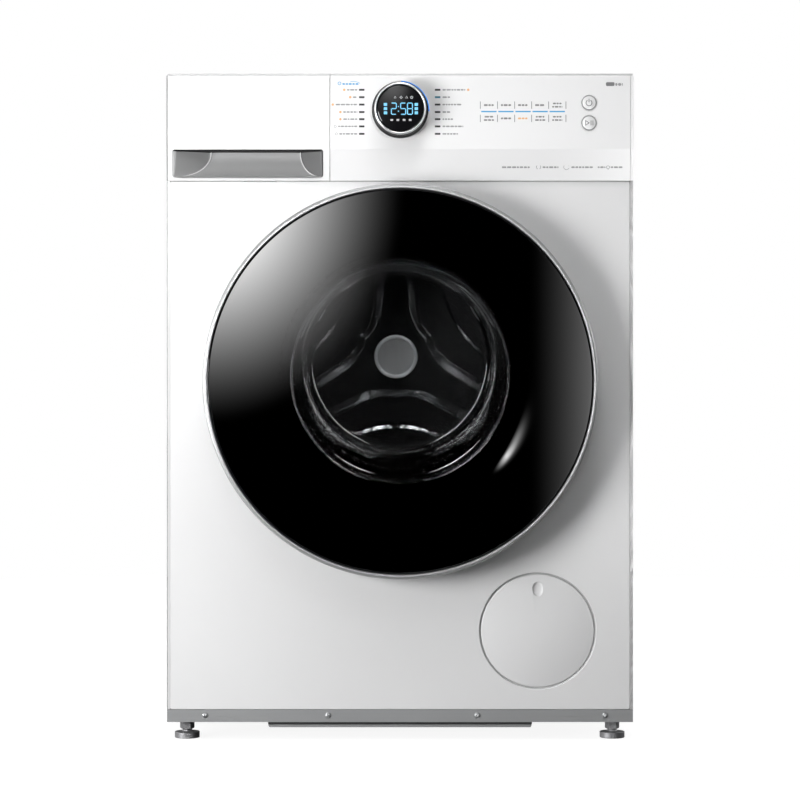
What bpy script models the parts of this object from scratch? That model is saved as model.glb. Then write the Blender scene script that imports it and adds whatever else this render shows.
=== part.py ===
"""Front-loading washing machine: separate pieces, metres, +Z up, front facing -Y, floor at z = 0."""

import math

import bmesh
import bpy
from mathutils import Vector

MM = 0.001

# Every size below is in millimetres.
WIDTH = 595.0
HEIGHT = 850.0
FRONT = -260.0  # outer face of the front panel
DOOR_FRONT = -305.0  # most forward point of the door glass
REAR = 305.0  # most rearward point of the rear panel
FASCIA = -266.0  # upper face of the control panel and drawer front
FASCIA_LOW = -262.5  # the same at the lower edge, below the crease
FASCIA_Z0 = 713.2
FASCIA_Z1 = 847.2
CREASE_Z = 753.5
SPLIT_X = -89.3  # gap between the drawer front and the control panel
PANEL_Z0 = 39.3
PANEL_Z1 = 712.9
SHEET = 1.2
BASE_Z = 23.0

DOOR_Z = 457.4
DOOR_R = 249.5
GLASS_R = 242.6
PORT_Z = 468.0
PORT_R = 168.0
HINGE_X = -236.0
HINGE_Y = -281.0
HOOK_X = 200.0

DRUM_Z = 500.0
DRUM_R = 240.0
TUB_IN = 252.0
TUB_OUT = 256.5
TUB_MID = 254.0  # where posts start inside the tub's wall
PULLEY_R = 145.0
MOTOR_Z = 170.0
MOTOR_PULLEY_R = 11.0

DIAL_Z = 803.0
BUTTON_X = 240.5
BUTTON_R = 9.7
POWER_Z = 812.6
START_Z = 786.8
FLAP_X = 175.7
FLAP_Z = 139.4
FLAP_R = 70.5
FLAP_PIVOT_Y = -259.2
FLAP_PIVOT_Z = 70.2
FOOT_X = 273.5
FOOT_Y = (-232.0, 262.0)
SPRING_X = 215.0
SPRING_Y = 110.0
DAMPER_X = 165.0
DAMPER_Y = 20.0
HOSE_X = -190.0
HOSE_Y = 10.0


def clear_scene():
    for obj in list(bpy.data.objects):
        bpy.data.objects.remove(obj, do_unlink=True)


def make_material(name, colour, metallic=0.0, roughness=0.5, alpha=1.0):
    material = bpy.data.materials.new(name)
    material.use_nodes = True
    shader = material.node_tree.nodes["Principled BSDF"]
    shader.inputs["Base Color"].default_value = (*colour, 1.0)
    shader.inputs["Metallic"].default_value = metallic
    shader.inputs["Roughness"].default_value = roughness
    shader.inputs["Alpha"].default_value = alpha
    material.diffuse_color = (*colour, alpha)
    return material


def solid(name, bm, colour, pivot=(0.0, 0.0, 0.0), metallic=0.0, roughness=0.5, alpha=1.0):
    """Makes one object, with its origin at pivot, from a mesh drawn in millimetres."""
    bmesh.ops.remove_doubles(bm, verts=bm.verts, dist=1e-4)
    bmesh.ops.recalc_face_normals(bm, faces=bm.faces)
    centre = Vector(pivot)
    for vert in bm.verts:
        vert.co = (vert.co - centre) * MM
    mesh = bpy.data.meshes.new(name)
    bm.to_mesh(mesh)
    bm.free()
    mesh.materials.append(make_material(name, colour, metallic, roughness, alpha))
    obj = bpy.data.objects.new(name, mesh)
    obj.location = centre * MM
    bpy.context.scene.collection.objects.link(obj)
    return obj


def tool(bm, pivot=(0.0, 0.0, 0.0)):
    return solid("tool", bm, (1.0, 0.0, 0.0), pivot)


def combine(target, bm, operation):
    """Adds, cuts or keeps the shape bm, and leaves the result in target's own mesh."""
    other = tool(bm)
    modifier = target.modifiers.new("combine", "BOOLEAN")
    modifier.operation = operation
    modifier.solver = "EXACT"
    modifier.object = other
    graph = bpy.context.evaluated_depsgraph_get()
    mesh = bpy.data.meshes.new_from_object(target.evaluated_get(graph))
    target.modifiers.clear()
    old = target.data
    target.data = mesh
    mesh.name = target.name
    bpy.data.meshes.remove(old)
    used = other.data.materials[0]
    bpy.data.objects.remove(other, do_unlink=True)
    bpy.data.materials.remove(used)
    while len(mesh.materials) > 1:
        mesh.materials.pop()
    return target


def cut(target, bm):
    return combine(target, bm, "DIFFERENCE")


def add(target, bm):
    return combine(target, bm, "UNION")


def rings(sections, loop=False):
    """Skins a list of equal rings. Ends are capped, or joined to each other when loop is True."""
    bm = bmesh.new()
    rows = []
    for section in sections:
        flat = max((Vector(p) - Vector(section[0])).length for p in section) < 1e-9
        if flat:
            rows.append([bm.verts.new(section[0])])
        else:
            rows.append([bm.verts.new(p) for p in section])
    pairs = list(zip(rows, rows[1:]))
    if loop:
        pairs.append((rows[-1], rows[0]))
    for a, b in pairs:
        count = max(len(a), len(b))
        if count == 1:
            continue
        for i in range(count):
            j = (i + 1) % count
            face = [a[i % len(a)], a[j % len(a)], b[j % len(b)], b[i % len(b)]]
            bm.faces.new(list(dict.fromkeys(face)))
    if not loop:
        for row in (rows[0], rows[-1]):
            if len(row) > 2:
                bm.faces.new(row)
    return bm


def on_axis(axis, centre, radius, along, angle):
    a = centre[0] + radius * math.cos(angle)
    b = centre[1] + radius * math.sin(angle)
    return {"Y": (a, along, b), "Z": (a, b, along), "X": (along, a, b)}[axis]


def turn(profile, axis, centre, segments, phase=0.0):
    """Revolves (radius, along) points. A profile that starts and ends at radius 0 is closed by the axis."""
    steps = [phase + 2 * math.pi * i / segments for i in range(segments)]
    sections = [[on_axis(axis, centre, r, t, a) for a in steps] for r, t in profile]
    return rings(sections, loop=profile[0][0] > 0 or profile[-1][0] > 0)


def box(low, high, bevel=0.0, segments=1):
    bm = bmesh.new()
    bmesh.ops.create_cube(bm, size=1.0)
    for vert in bm.verts:
        vert.co = Vector(low[i] + (vert.co[i] + 0.5) * (high[i] - low[i]) for i in range(3))
    if bevel:
        bmesh.ops.bevel(
            bm, geom=bm.edges[:], offset=bevel, segments=segments, affect="EDGES", profile=0.5
        )
    return bm


def prism(points, plane, low, high):
    """Extrudes a polygon drawn in a plane along the plane's normal."""

    def place(p, t):
        return {"XY": (p[0], p[1], t), "XZ": (p[0], t, p[1]), "YZ": (t, p[0], p[1])}[plane]

    return rings([[place(p, low) for p in points], [place(p, high) for p in points]])


def rounded(x0, z0, x1, z1, radius, steps=4):
    points = []
    corners = ((x1, z0, -90), (x1, z1, 0), (x0, z1, 90), (x0, z0, 180))
    for x, z, start in corners:
        cx = x - math.copysign(radius, x - (x0 + x1) / 2)
        cz = z - math.copysign(radius, z - (z0 + z1) / 2)
        for i in range(steps + 1):
            a = math.radians(start + 90 * i / steps)
            points.append((cx + radius * math.cos(a), cz + radius * math.sin(a)))
    return points


def arc(cx, cz, radius, start, end, steps):
    angles = [math.radians(start + (end - start) * i / steps) for i in range(steps + 1)]
    return [(cx + radius * math.cos(a), cz + radius * math.sin(a)) for a in angles]


def strip(path, thickness):
    """Outline of a folded sheet whose middle line is path, with mitred corners."""
    left, right = [], []
    points = [Vector(p) for p in path]
    for i, p in enumerate(points):
        before = (p - points[i - 1]).normalized() if i else None
        after = (points[i + 1] - p).normalized() if i + 1 < len(points) else None
        first = before or after
        last = after or before
        normal = Vector((-first.y - last.y, first.x + last.x)).normalized()
        reach = thickness / 2 / normal.dot(Vector((-first.y, first.x)))
        left.append(p + normal * reach)
        right.append(p - normal * reach)
    return [tuple(p) for p in left + right[::-1]]


def sweep(path, radius, sides, loop=False):
    """A round bar along a path of points."""
    points = [Vector(p) for p in path]
    count = len(points)
    sections = []
    normal = None
    for i, p in enumerate(points):
        ahead = points[(i + 1) % count] if loop or i + 1 < count else p
        behind = points[i - 1] if loop or i else p
        direction = (ahead - behind).normalized()
        if normal is None:
            normal = direction.orthogonal().normalized()
        normal = (normal - direction * normal.dot(direction)).normalized()
        other = direction.cross(normal)
        angles = [2 * math.pi * k / sides for k in range(sides)]
        sections.append([p + (normal * math.cos(a) + other * math.sin(a)) * radius for a in angles])
    return rings(sections, loop)


def hoop(cx, cz, y, radius, wire, segments, sides):
    profile = [
        (radius + wire * math.cos(2 * math.pi * i / sides), y + wire * math.sin(2 * math.pi * i / sides))
        for i in range(sides)
    ]
    return turn(profile, "Y", (cx, cz), segments)


def post(outline, end_z, wall=TUB_MID, centre=(0.0, DRUM_Z)):
    """A vertical post from a cylinder that lies along Y, so its root follows the cylinder's wall."""
    side = 1.0 if end_z > centre[1] else -1.0
    root = []
    for x, y in outline:
        root.append((x, y, centre[1] + side * math.sqrt(wall**2 - (x - centre[0]) ** 2)))
    return rings([root, [(x, y, end_z) for x, y in outline]])


def dished(half_x, mid_z, half_z, steps):
    """A block with its face on XZ, narrower by an inset at each (y, inset) step."""
    sections = []
    for y, inset in steps:
        x, z = half_x - inset, half_z - inset
        sections.append([(-x, y, mid_z - z), (x, y, mid_z - z), (x, y, mid_z + z), (-x, y, mid_z + z)])
    return rings(sections)


def circle(cx, cy, radius, count):
    steps = [2 * math.pi * i / count for i in range(count)]
    return [(cx + radius * math.cos(a), cy + radius * math.sin(a)) for a in steps]


def rectangle(cx, cy, width, depth):
    w, d = width / 2, depth / 2
    return [(cx - w, cy - d), (cx + w, cy - d), (cx + w, cy + d), (cx - w, cy + d)]


WHITE = (0.93, 0.93, 0.93)
DARK = (0.03, 0.03, 0.035)
GREY = (0.45, 0.46, 0.47)
LIGHT_GREY = (0.62, 0.63, 0.64)
STEEL = (0.60, 0.61, 0.62)


def build_cabinet():
    half = WIDTH / 2
    side = half - SHEET / 2
    right = [(289, -245), (294.1, -245), (294.1, -259.4), (side, -259.4), (side, 296.4)]
    path = right + [(-x, y) for x, y in reversed(right)]
    shell = solid("cabinet_shell", prism(strip(path, SHEET), "XY", PANEL_Z0, FASCIA_Z1), WHITE)
    for sign in (1, -1):
        x0, x1 = sorted((sign * 204.0, sign * 296.6))
        add(shell, box((x0, 95, 812), (x1, 125, 815)))
    cut(shell, box((-235, 280, 127), (235, 310, 703)))
    cut(shell, box((-296.1, -258.6, 712), (-270, -240, 860)))
    cut(shell, turn([(0, 280), (15, 280), (15, 310), (0, 310)], "Y", (-130, 795), 20))

    panel = solid(
        "front_panel", box((-293.2, FRONT, PANEL_Z0), (293.2, -247, PANEL_Z1), 1.8, 1), WHITE
    )
    cut(panel, box((-292, FRONT + SHEET, PANEL_Z0 + 1.2), (292, -240, PANEL_Z1 - 1.2)))
    collar = [
        (PORT_R, FRONT + 0.4),
        (PORT_R + 8, FRONT + 0.4),
        (PORT_R + 8, FRONT + 1.6),
        (PORT_R + 1.4, FRONT + 1.8),
        (PORT_R + 1.4, -252),
        (PORT_R, -252),
    ]
    cut(panel, turn([(0, -270), (PORT_R, -270), (PORT_R, -240), (0, -240)], "Y", (0, PORT_Z), 40))
    add(panel, turn(collar, "Y", (0, PORT_Z), 40))
    cut(panel, turn([(0, -270), (74.5, -270), (74.5, -240), (0, -240)], "Y", (FLAP_X, FLAP_Z), 32))
    ledge = [
        (74.5, FRONT + 0.4),
        (79, FRONT + 0.4),
        (79, FRONT + 1.6),
        (75.8, FRONT + 1.8),
        (75.8, -250.8),
        (66, -250.8),
        (66, -252),
        (74.5, -252),
    ]
    add(panel, turn(ledge, "Y", (FLAP_X, FLAP_Z), 32))
    for sign in (1, -1):
        z = DOOR_Z + sign * 24.5
        cut(panel, box((-242, -270, z - 3.5), (-230, -250, z + 3.5)))
    cut(panel, box((193.5, -270, 445), (210.5, -250, 470)))

    back = solid("rear_panel", box((-250, 297.3, 112), (250, 298.8, 718)), WHITE)
    add(back, dished(232, 415, 285, ((298, 0), (302, 0), (REAR, 3))))
    cut(back, dished(230.5, 415, 283.5, ((290, 0), (301.4, 0), (REAR - 1.5, 2.1))))

    outline = rounded(-half, 847.5 - 6, half, HEIGHT, 2.4, 3)
    top = solid("top_cover", prism(outline, "XZ", -263, 299), WHITE)
    cut(top, box((-400, -400, 830), (400, 400, 847.5)))
    add(top, box((-292, -236, 836), (292, 290, 848)))

    base = solid("base_frame", box((-297.3, -259.8, BASE_Z), (297.3, 297, 39)), GREY)
    cut(base, box((-294, -256, 26), (294, 294, 50)))
    for x in (-FOOT_X, FOOT_X):
        for y in FOOT_Y:
            add(base, prism(circle(x, y, 13, 12), "XY", 25, 38.8))
            cut(base, prism(circle(x, y, 6.8, 10), "XY", 10, 60))
    lip = [(166.5, 16), (168, 17.5), (168, 21.3), (162, 21.3), (162, 22.7)]
    outline = lip + [(-x, z) for x, z in reversed(lip)]
    solid("bottom_tray", prism(outline, "XZ", -257, 230), GREY)

    for name, x, y in (
        ("foot_front_left", -FOOT_X, FOOT_Y[0]),
        ("foot_front_right", FOOT_X, FOOT_Y[0]),
        ("foot_rear_left", -FOOT_X, FOOT_Y[1]),
        ("foot_rear_right", FOOT_X, FOOT_Y[1]),
    ):
        profile = [(0, 0), (15, 0), (16, 1), (16, 6), (13, 7.7), (8, 8), (6, 10), (6, 37), (0, 37)]
        foot = solid(name, turn(profile, "Z", (x, y), 16), LIGHT_GREY, (x, y, 0), 0.8, 0.4)
        add(foot, prism(circle(x, y, 9.3, 6), "XY", 11.5, 22.6))


def fascia_profile(back, inset=0.0):
    low = FASCIA_LOW + inset
    face = FASCIA + inset
    return [
        (back, FASCIA_Z0 + inset),
        (low + 0.6, FASCIA_Z0 + inset),
        (low, FASCIA_Z0 + inset + 0.6),
        (face, CREASE_Z),
        (face, FASCIA_Z1 - inset - 1.0),
        (face + 1.0, FASCIA_Z1 - inset),
        (back, FASCIA_Z1 - inset),
    ]


def build_controls():
    panel = solid(
        "control_panel", prism(fascia_profile(-246), "YZ", SPLIT_X + 0.3, 293.2), WHITE
    )
    cut(panel, prism(fascia_profile(-240, 2.5), "YZ", SPLIT_X + 2.8, 290.7))
    hole = [(0, -280), (32.4, -280), (32.4, -250), (0, -250)]
    cut(panel, turn(hole, "Y", (0, DIAL_Z), 32))
    for z in (POWER_Z, START_Z):
        hole = [(0, -280), (BUTTON_R + 0.4, -280), (BUTTON_R + 0.4, -250), (0, -250)]
        cut(panel, turn(hole, "Y", (BUTTON_X, z), 16))

    profile = [
        (29.6, -287.2),
        (30.6, -288.4),
        (32.6, -288.4),
        (33.4, -287.2),
        (33.9, -274),
        (36, -270.6),
        (36, -266.4),
        (31.9, -266.4),
        (31.9, -256),
        (29.6, -256),
    ]
    solid("dial_ring", turn(profile, "Y", (0, DIAL_Z), 32), STEEL, (0, -266, DIAL_Z), 0.9, 0.3)
    profile = [(0, -287), (28.4, -287), (29, -286.4), (29, -283), (26, -282), (26, -244.5), (0, -244.5)]
    solid("display_glass", turn(profile, "Y", (0, DIAL_Z), 32), DARK, roughness=0.1)

    for name, z in (("power_button", POWER_Z), ("start_button", START_Z)):
        profile = [
            (0, -266.9),
            (BUTTON_R - 0.6, -266.9),
            (BUTTON_R, -266.4),
            (BUTTON_R, -262.8),
            (BUTTON_R + 2, -262.8),
            (BUTTON_R + 2, -260.6),
            (5, -260.6),
            (5, -252),
            (0, -252),
        ]
        pivot = (BUTTON_X, -266.9, z)
        solid(name, turn(profile, "Y", (BUTTON_X, z), 16), WHITE, pivot)

    board = solid("control_board", box((-82, -244.2, 762), (285, -242.4, 836)), (0.05, 0.3, 0.15))
    for x, width, z, height, deep in (
        (-60, 40, 775, 40, 16),
        (60, 60, 770, 24, 10),
        (150, 30, 800, 28, 18),
        (200, 50, 772, 22, 12),
    ):
        add(board, box((x, -243, z), (x + width, -242.4 + deep, z + height)))


def scoop():
    """The hollow behind the drawer's grip: deep at the top, shallow at the bottom, with sloping ends."""
    sections = []
    rows = (
        (718.0, 2.7),
        (719.0, 1.2),
        (720.7, 0.0),
        (724.0, 0.0),
        (729.0, 0.0),
        (735.0, 0.0),
        (742.0, 0.0),
        (750.8, 0.0),
        (752.2, 1.0),
        (753.0, 2.7),
    )
    for z, inset in rows:
        face = FASCIA_LOW + (FASCIA - FASCIA_LOW) * (z - FASCIA_Z0) / (CREASE_Z - FASCIA_Z0)
        depth = 4.5 + 16.5 * math.sin(math.radians(90 * min(1.0, (z - 718.0) / 30.0)))
        left, right = -290.0 + inset, -98.0 - inset
        sections.append(
            [
                (left, -270, z),
                (left, face, z),
                (left + 2.3 * depth, face + depth, z),
                (right - 1.4 * depth, face + depth, z),
                (right, face, z),
                (right, -270, z),
            ]
        )
    return rings(sections)


def build_drawer():
    front = solid(
        "drawer_front", prism(fascia_profile(-260.4), "YZ", -296.0, SPLIT_X - 0.3), WHITE
    )
    add(front, box((-292.2, -261.4, 715.2), (-95.5, -240.5, 756.5)))
    cut(front, scoop())

    tray = solid("drawer_tray", box((-280, -260.1, 764), (-104, -20, 812)), (0.75, 0.78, 0.82))
    for low, high in ((-277.5, -222.0), (-219.5, -164.0), (-161.5, -106.5)):
        cut(tray, box((low, -256.5, 766.5), (high, -23, 830)))
    insert = solid(
        "siphon_insert", box((-219.0, -150, 805), (-164.5, -60, 808)), (0.2, 0.35, 0.6)
    )
    add(insert, prism(circle(-191.7, -90, 8, 16), "XY", 767.5, 806))

    housing = solid("dispenser_housing", box((-285, -250, 758.5), (-99, 40, 829)), LIGHT_GREY)
    cut(housing, box((-283, -260, 760.5), (-101, 38, 827)))
    add(housing, prism(circle(HOSE_X, HOSE_Y, 20, 14), "XY", 740, 759.5))
    cut(housing, prism(circle(HOSE_X, HOSE_Y, 16, 14), "XY", 730, 765))

    profile = [(23, 698), (23, 710)]
    for i in range(3):
        profile += [(27, 714.0 + 8 * i), (23, 718.0 + 8 * i)]
    profile += [(23, 752), (20.6, 752), (20.6, 698)]
    solid("fill_hose", turn(profile, "Z", (HOSE_X, HOSE_Y), 14), DARK, roughness=0.8)

    valve = solid("inlet_valve", box((-155, 245, 776), (-105, 284, 814), 2.0), (0.8, 0.8, 0.78))
    profile = [(0, 280), (11.5, 280), (11.5, 291), (13, 292), (13, 303), (12, 304.5)]
    profile += [(8, 304.5), (8, 290), (0, 290)]
    add(valve, turn(profile, "Y", (-130, 795), 16))
    for x in (-143, -117):
        add(valve, turn([(0, 228), (7, 228), (7, 247), (0, 247)], "Y", (x, 788), 8))
        add(valve, prism(circle(x, 264, 11, 10), "XY", 812, 830))


def build_service():
    flap_pivot = (FLAP_X, FLAP_PIVOT_Y, FLAP_PIVOT_Z)
    profile = [(0, -259.9), (69.9, -259.9), (FLAP_R, -259.3), (FLAP_R, -257.4), (0, -257.4)]
    flap = solid("service_flap", turn(profile, "Y", (FLAP_X, FLAP_Z), 32), WHITE, flap_pivot)
    add(flap, turn([(0, -258), (10.5, -258), (9, -255.2), (0, -255.2)], "Y", (FLAP_X, 192.7), 20))
    dimple = []
    for depth, size in ((-261.0, 1.0), (-259.9, 1.0), (-258.6, 0.9), (-257.4, 0.66), (-256.8, 0.3)):
        steps = [2 * math.pi * i / 20 for i in range(20)]
        ring = [(FLAP_X + 6.9 * size * math.cos(a), depth, 192.7 + 9.4 * size * math.sin(a)) for a in steps]
        dimple.append(ring)
    cut(flap, rings(dimple))

    centre = (FLAP_X, FLAP_Z)
    profile = [
        (0, -206),
        (31, -206),
        (31, -244),
        (37, -244),
        (37, -237),
        (34, -234),
        (34, -120),
        (44, -116),
        (44, -92),
        (27, -88),
        (27, -32),
        (0, -32),
    ]
    pump = solid("drain_pump", turn(profile, "Y", centre, 20), (0.75, 0.76, 0.78))
    add(pump, box((150.5, -182, 26.3), (200.5, -162, 122)))
    add(pump, box((160.5, -78, 26.3), (190.5, -60, 120)))
    add(pump, post(circle(FLAP_X, -150, 18, 14), 205, 33, centre))
    cap_profile = [(0, -246.8), (29.3, -246.8), (30.2, -245.8), (30.2, -212), (0, -212)]
    pivot = (FLAP_X, -246.8, FLAP_Z)
    cap = solid("filter_cap", turn(cap_profile, "Y", centre, 20), (0.1, 0.25, 0.5), pivot)
    add(cap, box((FLAP_X - 24, -254, FLAP_Z - 4), (FLAP_X + 24, -246, FLAP_Z + 4), 1.2))

    profile = [(21, 192), (21, 212)]
    for i in range(5):
        profile += [(25, 218.0 + 12 * i), (21, 224.0 + 12 * i)]
    profile += [(21, 290), (18.6, 290), (18.6, 192)]
    solid("sump_hose", turn(profile, "Z", (FLAP_X, -150), 14), DARK, roughness=0.8)


def frame_centre(radius, y):
    return PORT_Z if radius < 200 else DOOR_Z


def bowl_centre(radius, y):
    return PORT_Z + 22.0 * min(1.0, max(0.0, (y + 262.0) / 116.0))


def gasket_centre(radius, y):
    return PORT_Z + (DRUM_Z - PORT_Z) * min(1.0, max(0.0, (y + 244.0) / 29.0))


def drifting(profile, centre_of, segments):
    """Revolves about an axis whose height changes along the way."""
    steps = [2 * math.pi * i / segments for i in range(segments)]
    sections = [[on_axis("Y", (0, centre_of(r, y)), r, y, a) for a in steps] for r, y in profile]
    return rings(sections, loop=profile[0][0] > 0 or profile[-1][0] > 0)


def build_door():
    pivot = (HINGE_X, HINGE_Y, DOOR_Z)
    centre = (0, DOOR_Z)
    profile = [
        (0, -299.0),
        (162, -299.6),
        (169, -303.4),
        (200, -304.5),
        (222, DOOR_FRONT),
        (236, -303.6),
        (GLASS_R, -299.8),
        (GLASS_R, -296.4),
        (220, -300.6),
        (170, -299.4),
        (163, -296.0),
        (0, -295.2),
    ]
    glass = turn(profile, "Y", centre, 48)
    solid("door_outer_glass", glass, DARK, pivot, roughness=0.05, alpha=0.5)

    pocket = [(-262, -296.0), (-229, -296.0), (-225.5, -290), (-225.5, -259), (-262, -259)]
    profile = [
        (243.1, -301.2),
        (244.2, -302.6),
        (247.2, -302.4),
        (249.2, -299.8),
        (DOOR_R, -296),
        (248.8, -290.5),
        (247, -288.5),
        (243.1, -288.5),
    ]
    ring = solid("door_ring", turn(profile, "Y", centre, 48), STEEL, pivot, 0.9, 0.25)
    cut(ring, prism(pocket, "XY", DOOR_Z - 29, DOOR_Z + 29))

    profile = [
        (149, -264),
        (237, -264),
        (243, -276),
        (246, -288.2),
        (242.6, -288.2),
        (242.6, -295.4),
        (239.4, -296.2),
        (239.4, -277),
        (234.5, -270.6),
        (161, -270.6),
        (161, -294.2),
        (158, -294.2),
        (158, -270.6),
        (149, -270.6),
    ]
    frame = solid("door_inner_frame", drifting(profile, frame_centre, 40), DARK, pivot)
    cut(frame, prism(pocket, "XY", DOOR_Z - 29, DOOR_Z + 29))
    cut(frame, box((222, -284, DOOR_Z - 50), (260, -262, DOOR_Z + 50)))

    profile = [
        (141, -276),
        (156, -276),
        (156, -271),
        (146, -270.6),
        (143, -260),
        (139, -235),
        (132, -205),
        (122, -178),
        (106, -159),
        (70, -149),
        (0, -146),
        (0, -150.4),
        (68, -153.2),
        (102, -162.5),
        (118, -180),
        (128, -206.5),
        (135, -236),
        (139, -260),
    ]
    bowl = drifting(profile, bowl_centre, 36)
    solid("door_bowl", bowl, (0.7, 0.75, 0.78), pivot, roughness=0.05, alpha=0.3)

    z0, z1 = DOOR_Z - 21.4, DOOR_Z + 21.4
    barrel = prism(circle(HINGE_X, HINGE_Y, 6.5, 20), "XY", z0, z1)
    arm = solid("door_hinge_arm", barrel, STEEL, pivot, 0.9, 0.4)
    add(arm, box((HINGE_X, -282, z0 + 1), (-205, -278, z1 - 1)))
    add(arm, box((-224, -279, z0 + 1), (-196, -271, z1 - 1)))
    cut(arm, prism(circle(HINGE_X, HINGE_Y, 3.5, 16), "XY", z0 - 5, z1 + 5))

    hook = solid("door_hook", box((190, -263.7, 440), (214, -261.4, 475)), STEEL, pivot, 0.9, 0.4)
    outline = [(197, -262.5), (203, -262.5), (203, -247), (207, -245.5), (203.5, -238), (197, -238)]
    add(hook, prism(outline, "XY", 450, 465))

    plate = box((-262, -258.4, DOOR_Z - 55), (-214, -255.4, DOOR_Z + 55))
    bracket = solid("hinge_bracket", plate, STEEL, metallic=0.9, roughness=0.4)
    for sign in (1, -1):
        ear = [(-231.5, -256), (-240.5, -256)] + arc(HINGE_X, HINGE_Y, 4.5, 180, 360, 6)
        z = DOOR_Z + sign * 24.5
        add(bracket, prism(ear, "XY", z - 2.5, z + 2.5))
    add(bracket, prism(circle(HINGE_X, HINGE_Y, 3, 16), "XY", DOOR_Z - 24, DOOR_Z + 24))

    lock = solid("door_lock", box((191, -257, 425), (224, -231, 492), 1.5), DARK)
    cut(lock, box((194, -262, 445.5), (210, -234, 469.5)))

    profile = [
        (176, -260.4),
        (176, -262.4),
        (164, -263.0),
        (152, -259),
        (147, -250),
        (149.5, -249.5),
        (162.5, -256.5),
        (163.5, -243),
        (181.5, -236.5),
        (181.5, -230.5),
        (165.5, -225),
        (165.5, -212.5),
        (172.4, -209.4),
        (172.4, -196),
        (175.4, -196),
        (175.4, -211.2),
        (168.5, -214.3),
        (168.5, -222.8),
        (184.5, -228.3),
        (184.5, -238.7),
        (166.8, -245.2),
        (166.8, -260.4),
    ]
    solid("door_gasket", drifting(profile, gasket_centre, 32), (0.35, 0.36, 0.37), roughness=0.8)
    solid("gasket_clamp", hoop(0, PORT_Z, -249.3, 169.4, 1.3, 32, 4), STEEL, metallic=0.9)


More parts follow.
